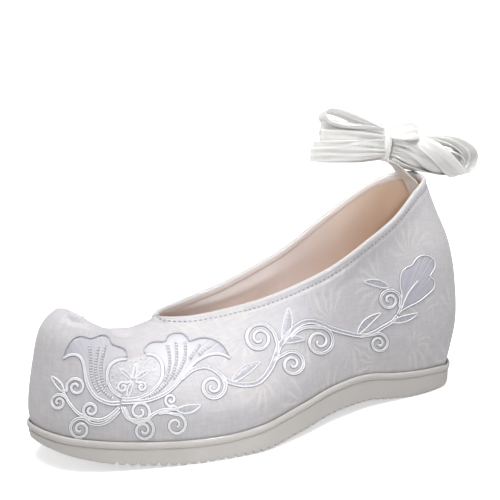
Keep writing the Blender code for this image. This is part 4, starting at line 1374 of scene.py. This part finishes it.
def smooth_run(points, step):
    """Even steps along a smooth curve through points."""
    points = np.asarray(points, float)
    if len(points) < 3:
        middle = points.mean(axis=0, keepdims=True)
        points = np.concatenate([points[:1], middle, points[1:]])
    padded_run = np.concatenate([2 * points[:1] - points[1:2], points, 2 * points[-1:] - points[-2:-1]])
    fine = []
    for a, b, c, d in zip(padded_run, padded_run[1:], padded_run[2:], padded_run[3:]):
        bend_two, bend_three = 2 * a - 5 * b + 4 * c - d, 3 * b - a - 3 * c + d
        for t in np.linspace(0.0, 1.0, CURVE_STEPS, endpoint=False):
            fine.append(0.5 * (2 * b + (c - a) * t + bend_two * t ** 2 + bend_three * t ** 3))
    fine.append(points[-1])
    fine = np.array(fine)
    run = run_along(fine)
    wanted = np.linspace(0.0, run[-1], max(int(run[-1] / step) + 1, CURVE_FEWEST_STEPS))
    return np.column_stack([np.interp(wanted, run, fine[:, k]) for k in range(fine.shape[1])])


def curl_points(centre_x, centre_y, radius, start, turns):
    """A spiral that winds in from its radius."""
    shares = np.linspace(0.0, 1.0, int(abs(turns) * CURL_STEPS_PER_TURN))
    angles = np.radians(start) + turns * 2 * math.pi * shares
    radii = radius * (1 - shares) ** CURL_TIGHTENING * (1 - CURL_EYE) + CURL_EYE * radius
    return [(centre_x + r * math.cos(a), centre_y + r * math.sin(a)) for r, a in zip(radii, angles)]


def sides_of(pixels, half):
    """The two lines at a distance either side of a run of pixels."""
    run = unit(np.gradient(pixels, axis=0))
    aside = np.column_stack([-run[:, 1], run[:, 0]]) * np.asarray(half)[:, None]
    return pixels - aside, pixels + aside


white_cords, lilac_cords, satin_fill, underlay_shadow = Bundle(), Bundle(), Bundle(), Bundle()


def both_sides(spots):
    """Points and normals of the cloth at ring and row positions: on the outer side, then on the inner."""
    for mirror in (1, -1):
        ring, row = mirror * spots[..., 0], spots[..., 1]
        yield on_grid(outer_grid, ring, row), unit(on_grid(outer_normals, ring, row))


def lay_cord(bundle, pixels, width, lift=0.0):
    """A couched cord on both sides of the shoe, tapering at its two ends and lifted by what it lies on."""
    for line, normals in both_sides(on_cloth(pixels)):
        run = run_along(line)
        taper = np.clip(np.minimum(run, run[-1] - run) / width + CORD_ENDS, CORD_ENDS, 1.0)
        tube = lying_tube(line + lift * normals, normals, np.array(CORD_SECTION) * width, taper)
        uv = cloth_grid(run, np.arange(float(len(CORD_SECTION))))
        bundle.add_grid(tube, uv, close_columns=True, capped=True)


def lay_band(bundle, left, right, height, flat=False):
    """A strip of thread between two lines, domed or flat to its edges, on both sides of the shoe."""
    if flat:
        shares = np.array([0.0, UNDERLAY_EDGE, 0.5, 1 - UNDERLAY_EDGE, 1.0])
        lift = np.array([-FILL_EDGE_SUNK, height, height, height, -FILL_EDGE_SUNK])
    else:
        shares = np.linspace(0.0, 1.0, BAND_COLUMNS_ACROSS)
        lift = height * np.sin(math.pi * shares) ** FILL_DOME - FILL_EDGE_SUNK
    spots = np.stack([on_cloth(left + s * (right - left)) for s in shares], axis=1)
    for base, normals in both_sides(spots):
        top = base + lift[None, :, None] * normals
        under = (base - FILL_SUNK * normals)[:, ::-1]
        closed = np.concatenate([top, under], axis=1)
        uv = cloth_grid(run_along(base[:, 2]), np.ones(closed.shape[1]))
        bundle.add_grid(closed, uv, close_columns=True, capped=True)


def lay_underlay_shadow(spine, half):
    """A flat strip of grey thread under a run of pixels; where it reaches past the cords it is a painted
    shadow along their edges.
    """
    lay_band(underlay_shadow, *sides_of(spine, half), UNDERLAY_HEIGHT, flat=True)


def lay_petal(margin, inner_edge, fan_from, height=FILL_HEIGHT, fullest=1.0):
    """A scalloped field of satin stitch, full at its margin; returns the pixels well inside it."""
    outline = smooth_run(list(margin) + list(inner_edge) + [margin[0]], FILL_STEP)[:-1]
    low, high = outline.min(axis=0), outline.max(axis=0)
    grid_x, grid_y = np.meshgrid(*(np.arange(low[k], high[k], FILL_STEP) for k in range(2)))
    trial = np.column_stack([grid_x.ravel(), grid_y.ravel()])
    nearest = np.min(np.linalg.norm(trial[:, None] - outline[None], axis=2), axis=1)
    ahead = np.roll(outline, -1, axis=0)
    crosses = (outline[None, :, 1] > trial[:, None, 1]) != (ahead[None, :, 1] > trial[:, None, 1])
    rise = np.where(ahead[:, 1] == outline[:, 1], LEAST_LENGTH, ahead[:, 1] - outline[:, 1])
    slant = (ahead - outline)[:, 0] / rise
    meets = outline[None, :, 0] + (trial[:, None, 1] - outline[None, :, 1]) * slant[None]
    within = np.sum(crosses & (trial[:, None, 0] < meets), axis=1) % 2 == 1
    pixels = np.concatenate([outline, trial[within & (nearest > FILL_FROM_EDGE * FILL_STEP)]])
    count = len(outline)
    made = geometry.delaunay_2d_cdt([Vector(p) for p in pixels], [], [list(range(count))], 1, FILL_WELD)
    pixels = np.array([tuple(p) for p in made[0]])
    triangles = made[2]
    distance = np.min(np.linalg.norm(pixels[:, None] - outline[None], axis=2), axis=1)
    lift = height * np.sqrt(np.clip(distance / FILL_SHOULDER, 0, 1)) - FILL_EDGE_SUNK
    from_base = pixels - np.asarray(fan_from)
    reach = np.linalg.norm(from_base, axis=1)
    angle = np.arctan2(from_base[:, 1], from_base[:, 0])
    edge_reach = np.linalg.norm(np.asarray(margin) - np.asarray(fan_from), axis=1).max()
    full = reach / edge_reach if inner_edge else np.ones(len(pixels))
    uv = np.column_stack([angle * edge_reach * FAN_SPREAD, full * fullest])
    spots = on_cloth(pixels)
    edges = {}
    for face in triangles:
        for a, b in zip(face, list(face[1:]) + [face[0]]):
            edges[(a, b)] = edges.get((b, a), 0) + 1
    border = [(a, b) for (a, b) in edges if (b, a) not in edges]
    for base, normals in both_sides(spots):
        start, total = satin_fill.count, len(pixels)
        satin_fill.faces += [[start + i for i in face] for face in triangles]
        satin_fill.faces += [[start + total + i for i in face][::-1] for face in triangles]
        satin_fill.faces += [[start + b, start + a, start + total + a, start + total + b] for a, b in border]
        top, under = base + lift[:, None] * normals, base - FILL_SUNK * normals
        satin_fill.take(np.concatenate([top, under]), np.tile(uv, (2, 1)))
    return pixels[distance > SEED_FROM_EDGE]


field_outline = FRONT_PETAL_EDGE + NEXT_PETAL_EDGE[::-1]
field_middle = np.mean(field_outline, axis=0)
field_spots = lay_petal(field_outline, [], field_middle, FIELD_HEIGHT, FIELD_PALE)
seeds = []
for spot in field_spots:
    if all(np.linalg.norm(spot - seed) > SEED_SPACING for seed in seeds):
        seeds.append(spot)
for number, seed in enumerate(seeds):
    turn = number * SEED_TURN
    reach = SEED_LENGTH / 2 * np.array([math.cos(turn), math.sin(turn)])
    seed_stitch = np.linspace(seed - reach, seed + reach, SHORT_STITCH_POINTS)
    lay_cord(white_cords, seed_stitch, SEED_WIDTH, FIELD_HEIGHT)

for wide_start, wide_end, run_points, curl in VINES:
    spine = smooth_run(list(run_points) + (curl_points(*curl) if curl else []), CORD_STEP)
    shares = np.linspace(0.0, 1.0, len(spine))
    if curl:
        widths = [wide_start, CURL_WIDEST * wide_end, CURL_END_WIDTH]
        wide = np.interp(shares, [0.0, CURL_WIDEST_AT, 1.0], widths)
    else:
        wide = wide_start + (wide_end - wide_start) * shares
    left, right = sides_of(spine, wide / 2)
    lay_underlay_shadow(spine, wide / 2 + UNDERLAY_SHADOW_BEYOND + CORD_WIDTH / 2)
    if wide.max() > VINE_FILL_FROM:
        lay_band(satin_fill, left, right, VINE_FILL_HEIGHT)
    lay_cord(white_cords, left, CORD_WIDTH)
    lay_cord(white_cords, right, CORD_WIDTH)

for base, tip, half, bow in LEAVES:
    base, tip = np.array(base, float), np.array(tip, float)
    axis_run = tip - base
    square = np.array([-axis_run[1], axis_run[0]]) / np.linalg.norm(axis_run)
    steps = max(int(np.linalg.norm(axis_run) / CORD_STEP), LEAF_FEWEST_STEPS)
    shares = np.linspace(0.0, 1.0, steps)
    spine = base + shares[:, None] * axis_run + (bow * np.sin(math.pi * shares))[:, None] * square
    belly = half * np.sin(math.pi * shares ** LEAF_LEAN) ** LEAF_ROUND
    left, right = sides_of(spine, belly)
    lay_underlay_shadow(spine, belly + LEAF_UNDERLAY_SHADOW_BEYOND)
    lay_band(satin_fill, left, right, LEAF_FILL_HEIGHT)
    lay_cord(white_cords, left, LEAF_CORD_WIDTH)
    lay_cord(white_cords, right, LEAF_CORD_WIDTH)
    if half > LEAF_VEIN_FROM:
        lay_cord(lilac_cords, spine[LEAF_VEIN_START: int(LEAF_VEIN_REACH * len(spine))], LEAF_VEIN_WIDTH)

for margin, inner_edge, fan_from in PETALS:
    lay_petal(margin, inner_edge, fan_from)
    edge_line = smooth_run(margin, CORD_STEP)
    if inner_edge:
        lay_cord(lilac_cords, edge_line, PETAL_CORD_WIDTH)
    else:
        lay_underlay_shadow(edge_line, np.full(len(edge_line), UNDERLAY_SHADOW_BEYOND))
        lay_cord(white_cords, edge_line, CORD_WIDTH)
lay_cord(white_cords, smooth_run(REAR_PETAL_VEIN, CORD_STEP), FINE_CORD_WIDTH, FILL_HEIGHT)

for row in TICK_ROWS:
    spine = smooth_run(row, TICK_SPACING)
    left, right = sides_of(spine, np.full(len(spine), TICK_LENGTH / 2))
    lay_band(lilac_cords, *sides_of(spine, np.full(len(spine), TICK_BED_REACH)), TICK_LIFT, flat=True)
    for start, end in zip(left, right):
        lay_cord(white_cords, np.linspace(start, end, SHORT_STITCH_POINTS), TICK_WIDTH, TICK_LIFT)


def cord_finish(name, base, other):
    """Twisted thread with a soft gloss, shaded between its plies."""
    made, tree, shader = new_finish(name, Sheen_Weight=0.1, Specular_IOR_Level=0.5)
    cloth = node(tree, "UVMap", uv_map="cloth").outputs["UV"]
    ply = use_group(tree, twist, {"Cloth": cloth, **CORD_TWIST})
    dress(tree, shader, mixed(tree, ply, other, base), ply, CORD_ROUGH, ply, CORD_BUMP)
    return made


satin_stitch, tree, shader = new_finish("lilac_satin_stitch", Sheen_Weight=0.15, Specular_IOR_Level=0.5)
cloth = node(tree, "UVMap", uv_map="cloth").outputs["UV"]
axis = node(tree, "SeparateXYZ", {0: cloth})
fullness = ramp(tree, math_of(tree, "MULTIPLY", axis.outputs[1], 1 / MM), *SATIN_FULL_SPAN)
strand_along = math_of(tree, "MULTIPLY", axis.outputs[0], SATIN_STRANDS)
strand_place = node(tree, "CombineXYZ", {0: strand_along}).outputs[0]
strand = noise(tree, strand_place, 1.0, noise_dimensions="2D")
cloud = noise(tree, node(tree, "TexCoord").outputs["Object"], SATIN_CLOUD_SCALE)
shade = math_of(tree, "MULTIPLY", fullness, ramp(tree, strand, **SATIN_STRAND_SPAN))
shade = math_of(tree, "MULTIPLY", shade, math_of(tree, "ADD", cloud, SATIN_CLOUD_LIFT))
shade = node(tree, "Clamp", {"Value": shade}).outputs[0]
dress(tree, shader, mixed(tree, shade, SATIN_PALE, SATIN_LILAC), strand, SATIN_ROUGH, strand, SATIN_BUMP)

grey_shadow_thread = cord_finish("grey_underlay_shadow_thread", UNDERLAY_SHADOW_LILAC, UNDERLAY_SHADOW_GREY)
white_cord = cord_finish("white_couched_cord", CORD_WHITE, CORD_SHADE)
lilac_cord = cord_finish("lilac_outline_cord", OUTLINE_PALE, OUTLINE_LILAC)
embroidery = [
    underlay_shadow.build("embroidery_underlay_shadow", [grey_shadow_thread]),
    satin_fill.build("embroidery_satin", [satin_stitch]),
    white_cords.build("embroidery_cords", [white_cord]),
    lilac_cords.build("embroidery_outlines", [lilac_cord]),
]
for worked in embroidery:
    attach(worked, "root")


# Bow. One length of soft satin ribbon is folded into a hank of loops, bound tightly round its middle with
# its own end, and carried by a tail that is sewn to the lining inside the heel. The rear loops are twisted.

RIBBON_WIDTH = 10.0
RIBBON_THICKNESS = 0.45
RIBBON_ACROSS = 13
PLEAT_DEPTH = 0.6
PLEATS = 2.3
PLEAT_SWING = {"base": 0.65, "waves": 1.7}
PLEAT_SHIFT = 6.0
PLEAT_FLATTEST = 0.25
PLEAT_GATHER = 1.7
FOLD_ZONE = 0.8
LOOP_STEPS = 72
LOOP_ROOT_GAP = 0.36
LOOP_ROUNDNESS = 0.8
LOOP_ROOT_ASIDE = 0.4
LOOP_PHASE = 0.37
GATHERED = 0.5
GATHER_REACH = 0.4
FRONT_END_ROUND = 0.06
REAR_END_ROUND = 0.35
END_ROUND_FROM = 0.6
KNOT = (203.5, 0.0, 134.0)
KNOT_LENGTH = 4.6
KNOT_HEIGHT = 21.5
KNOT_DEPTH = 10.0
KNOT_WRAPS = 3
KNOT_FOLD = 0.8
KNOT_ROUND = 64
KNOT_STEPS_PER_WRAP = 12
KNOT_WAVER = 0.35
KNOT_WAVER_TURN = 0.6
KNOT_FOLD_SHAPE = 0.7
KNOT_END = 0.58
KNOT_END_SHAPE = 3.0
KNOT_LEAN = 0.5
RIBBON_WHITE = (0.86, 0.855, 0.845, 1.0)
RIBBON_CREAM = (0.825, 0.81, 0.78, 1.0)
RIBBON_GLOW = 0.0015
RIBBON_CLOUD_SCALE = 75.0
RIBBON_CREAM_SHARE = 0.7
RIBBON_THREADS = {"Threads": 60.0, "Length": 2600.0}
RIBBON_ROUGH = (0.26, 0.44)
RIBBON_BUMP = (0.3, 0.0003)

# How the pleats wander along a ribbon: size, number of waves, and the sign of their shift.
WANDER_COLUMNS = ("size", "waves", "shift")
WANDER = [(0.9, 1.3, 1), (0.5, 2.9, -1)]

# Loops: the pixel of the photograph where each leaves the knot and that of its far end, sideways shift,
# opening, turn of the loop about its length at the knot, further twist along it, how soon it opens out,
# and how far the folded ribbon spreads.
LOOP_COLUMNS = ("root", "end", "aside", "opening", "turn_deg", "twist_deg", "fullness", "spread")
FRONT_LOOPS = [
    ((386, 131.0), (322.5, 115.5), -1.5, 12.0, 50.0, -26.0, 0.9, 0.62),
    ((386, 135.0), (321.0, 127.5), -1.0, 4.5, 74.0, 6.0, 0.3, 0.85),
    ((386, 140.0), (320.5, 137.5), -4.5, 4.5, 92.0, -4.0, 0.3, 0.85),
    ((386, 147.0), (314.0, 148.5), -6.0, 5.0, 88.0, 4.0, 0.3, 0.78),
    ((386, 152.5), (311.0, 154.5), -7.5, 4.5, 94.0, -4.0, 0.3, 0.74),
    ((386, 155.0), (318.0, 155.5), 4.5, 4.0, 90.0, 4.0, 0.3, 0.74),
]
REAR_LOOPS = [
    ((387, 143.0), (473.0, 161.0), 0.0, 25.0, -160.0, 165.0, 0.25, 1.0),
    ((387, 146.0), (465.0, 160.5), 0.0, 22.0, -125.0, 137.0, 0.25, 1.0),
    ((387, 149.5), (458.0, 159.5), 0.0, 18.0, -90.0, 108.0, 0.25, 1.0),
    ((387, 153.0), (453.0, 158.0), 0.5, 10.0, -55.0, 45.0, 0.25, 1.0),
    ((387, 156.5), (460.0, 162.0), -1.0, 16.0, -20.0, 40.0, 0.25, 1.0),
    ((386, 134.5), (416.5, 132.5), -4.0, 9.0, 62.0, 10.0, 0.25, 1.0),
]
TAIL_WIDTH = 13.0
TAIL_TOP_WIDTH = 7.0
TAIL_IN_KNOT = 0.8
TAIL_FROM_OUTSIDE = 4.65
TAIL_FOOT_Z = 97.0
TAIL_TOP_Z = 111.0
TAIL_POINTS_SEWN = 4
TAIL_STEP = 0.8
TAIL_GATHER = 1.6
TAIL_PHASE = 0.2
TAIL_FREE = [(217.0, 115.8), (213.0, 119.6), (208.5, 122.3)]


def bow_point(pixel, aside):
    """Point in shoe millimetres where a pixel's line of sight meets an upright plane through the bow."""
    ray = pixel_ray(pixel)
    plane_y = (KNOT[1] + aside - ORIGIN_FROM_AXIS) * MM
    reach = (plane_y - CAMERA_PLACE[1]) / ray.y
    met = np.array(CAMERA_PLACE) + reach * np.array(ray)
    return met / MM + np.array([ORIGIN_FROM_TOE, ORIGIN_FROM_AXIS, 0.0])


def lay_ribbon(bundle, path, broad, width, depth, phase):
    """A ribbon along a path, pleated lengthwise; broad is the way its width lies. Returns its length."""
    run = unit(np.gradient(path, axis=0))
    broad = unit(broad - np.sum(broad * run, axis=1)[:, None] * run)
    thin = np.cross(run, broad)
    length = run_along(path)
    across = np.linspace(-0.5, 0.5, RIBBON_ACROSS)
    share = length / length[-1]
    wander = 0.0
    for size, waves, shift in WANDER:
        wander = wander + size * np.sin(2 * math.pi * (waves * share + shift * phase))
    wave = np.sin(2 * math.pi * PLEATS * across[None, :] + wander[:, None] + PLEAT_SHIFT * phase)
    swing = np.sin(2 * math.pi * (share * PLEAT_SWING["waves"] + phase))
    depth = depth * (PLEAT_SWING["base"] + (1 - PLEAT_SWING["base"]) * swing)
    middle = path[:, None] + (width[:, None] * across[None, :])[..., None] * broad[:, None]
    middle = middle + (depth[:, None] * wave)[..., None] * thin[:, None]
    round_run = np.gradient(middle, axis=0)
    side_run = np.gradient(middle, axis=1)
    facing = unit(np.cross(round_run, side_run)) * RIBBON_THICKNESS / 2
    closed = np.concatenate([middle + facing, (middle - facing)[:, ::-1]], axis=1)
    flat = np.concatenate([across, across[::-1]]) * RIBBON_WIDTH
    uv = cloth_grid(length, flat)
    bundle.add_grid(closed, uv, close_columns=True, capped=True)
    return length[-1]


def lay_loops(bundle, loops, end_round):
    """Loops on one side of the knot, out to the far end and back. Returns their length."""
    total = 0.0
    for number, (root, end, aside, opening, turn, twist_more, fullness, spread) in enumerate(loops):
        start = bow_point(root, LOOP_ROOT_ASIDE * aside)
        reach = bow_point(end, aside) - start
        length = np.linalg.norm(reach)
        ahead = reach / length
        flat = unit(np.cross(ahead, [0.0, 0.0, 1.0]))
        upright = np.cross(flat, ahead)
        angles = np.linspace(LOOP_ROOT_GAP, 2 * math.pi - LOOP_ROOT_GAP, LOOP_STEPS)
        along = (1 - np.cos(angles)) / 2
        turned = np.radians(turn + twist_more * along)
        sideways = np.cos(turned)[:, None] * upright + np.sin(turned)[:, None] * flat
        bulge = np.sign(np.sin(angles)) * np.abs(np.sin(angles)) ** LOOP_ROUNDNESS
        gape = opening / 2 * bulge * along ** fullness
        path = start + (along * length)[:, None] * ahead + gape[:, None] * sideways
        ironed = np.clip((1 - along) / (1 - FOLD_ZONE), PLEAT_FLATTEST, 1.0)
        gather = GATHERED + (1 - GATHERED) * np.clip(along / GATHER_REACH, 0.0, 1.0)
        to_end = np.clip((along - END_ROUND_FROM) / (1 - END_ROUND_FROM), 0.0, 1.0)
        rounded = 1 - end_round * (1 - np.sqrt(1 - to_end ** 2))
        width = spread * gather * rounded * RIBBON_WIDTH
        depth = PLEAT_DEPTH * (PLEAT_GATHER - spread) * ironed * (2 - gather)
        total += lay_ribbon(bundle, path, np.cross(ahead, sideways), width, depth, LOOP_PHASE * number)
    return total


front_loops, rear_loops, tail_strip = Bundle(), Bundle(), Bundle()
front_length = lay_loops(front_loops, FRONT_LOOPS, FRONT_END_ROUND)
rear_length = lay_loops(rear_loops, REAR_LOOPS, REAR_END_ROUND)

heel_line = outer_grid[half_ring]
tail_sewn = [
    (float(np.interp(z, heel_line[:, 2], heel_line[:, 0])) - TAIL_FROM_OUTSIDE, z)
    for z in np.linspace(TAIL_FOOT_Z, TAIL_TOP_Z, TAIL_POINTS_SEWN)
]
tail_end = (KNOT[0], KNOT[2] - KNOT_HEIGHT / 2 + TAIL_IN_KNOT)
tail_side = smooth_run(tail_sewn + TAIL_FREE + [tail_end], TAIL_STEP)
tail_path = np.column_stack([tail_side[:, 0], np.zeros(len(tail_side)), tail_side[:, 1]])
tail_across = np.tile([0.0, 1.0, 0.0], (len(tail_path), 1))
tail_depth = np.linspace(PLEAT_DEPTH, TAIL_GATHER * PLEAT_DEPTH, len(tail_path))
tail_width = np.linspace(TAIL_WIDTH, TAIL_TOP_WIDTH, len(tail_path))
tail_length = lay_ribbon(tail_strip, tail_path, tail_across, tail_width, tail_depth, TAIL_PHASE)

knot_rings = []
turns = np.arange(KNOT_ROUND) * 2 * math.pi / KNOT_ROUND
waver = KNOT_WAVER * np.sin(turns + KNOT_WAVER_TURN)
for s in np.linspace(0.0, 1.0, KNOT_STEPS_PER_WRAP * KNOT_WRAPS + 1):
    fold = np.abs(np.sin(math.pi * KNOT_WRAPS * s + waver)) ** KNOT_FOLD_SHAPE
    rounded = math.sqrt(max(1.0 - abs(2 * s - 1) ** KNOT_END_SHAPE, 0.0))
    shrink = KNOT_END + (1 - KNOT_END) * rounded
    knot_rings.append(np.column_stack([
        KNOT[0] + (s - 0.5) * KNOT_LENGTH + KNOT_LEAN * np.sin(turns),
        KNOT[1] + shrink * (KNOT_DEPTH / 2 - KNOT_FOLD + KNOT_FOLD * fold) * np.cos(turns),
        KNOT[2] + shrink * (KNOT_HEIGHT / 2 - KNOT_FOLD + KNOT_FOLD * fold) * np.sin(turns),
    ]))
knot_grid = np.array(knot_rings)
knot_band = Bundle()
knot_turn = np.arange(float(KNOT_ROUND)) / KNOT_ROUND * math.pi * (KNOT_DEPTH + KNOT_HEIGHT) / 2
knot_uv = cloth_grid(np.linspace(0.0, RIBBON_WIDTH, len(knot_grid)), knot_turn)
knot_band.add_grid(knot_grid, knot_uv[..., ::-1], close_columns=True, capped=True)

ribbon, tree, shader = new_finish(
    "white_satin_ribbon", Sheen_Weight=0.2, Sheen_Roughness=0.35, Specular_IOR_Level=0.5,
    Subsurface_Weight=0.5, Subsurface_Radius=(1.0, 1.0, 1.0), Subsurface_Scale=RIBBON_GLOW,
)
cloth = node(tree, "UVMap", uv_map="cloth").outputs["UV"]
spot = node(tree, "TexCoord").outputs["Object"]
tone = use_group(tree, tint, {
    "Place": spot, "Scale": RIBBON_CLOUD_SCALE, "Base": RIBBON_WHITE, "Other": RIBBON_CREAM,
    "Share": RIBBON_CREAM_SHARE,
})
satin_threads = use_group(tree, slubs, {"Cloth": cloth, **RIBBON_THREADS})
dress(tree, shader, tone, satin_threads, RIBBON_ROUGH, satin_threads, RIBBON_BUMP)

front_piece = front_loops.build("ribbon_loops_front", [ribbon])
rear_piece = rear_loops.build("ribbon_loops_rear", [ribbon])
tail_piece = tail_strip.build("ribbon_sewn_tail", [ribbon])
knot_piece = knot_band.build("ribbon_knot_wrap", [ribbon])
for ribbon_piece, cad_node in (
    (front_piece, "bow_front_loops"),
    (rear_piece, "bow_rear_loops"),
    (tail_piece, "ribbon_tail"),
    (knot_piece, "bow_knot"),
):
    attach(ribbon_piece, "root")
    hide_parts(cad_node)
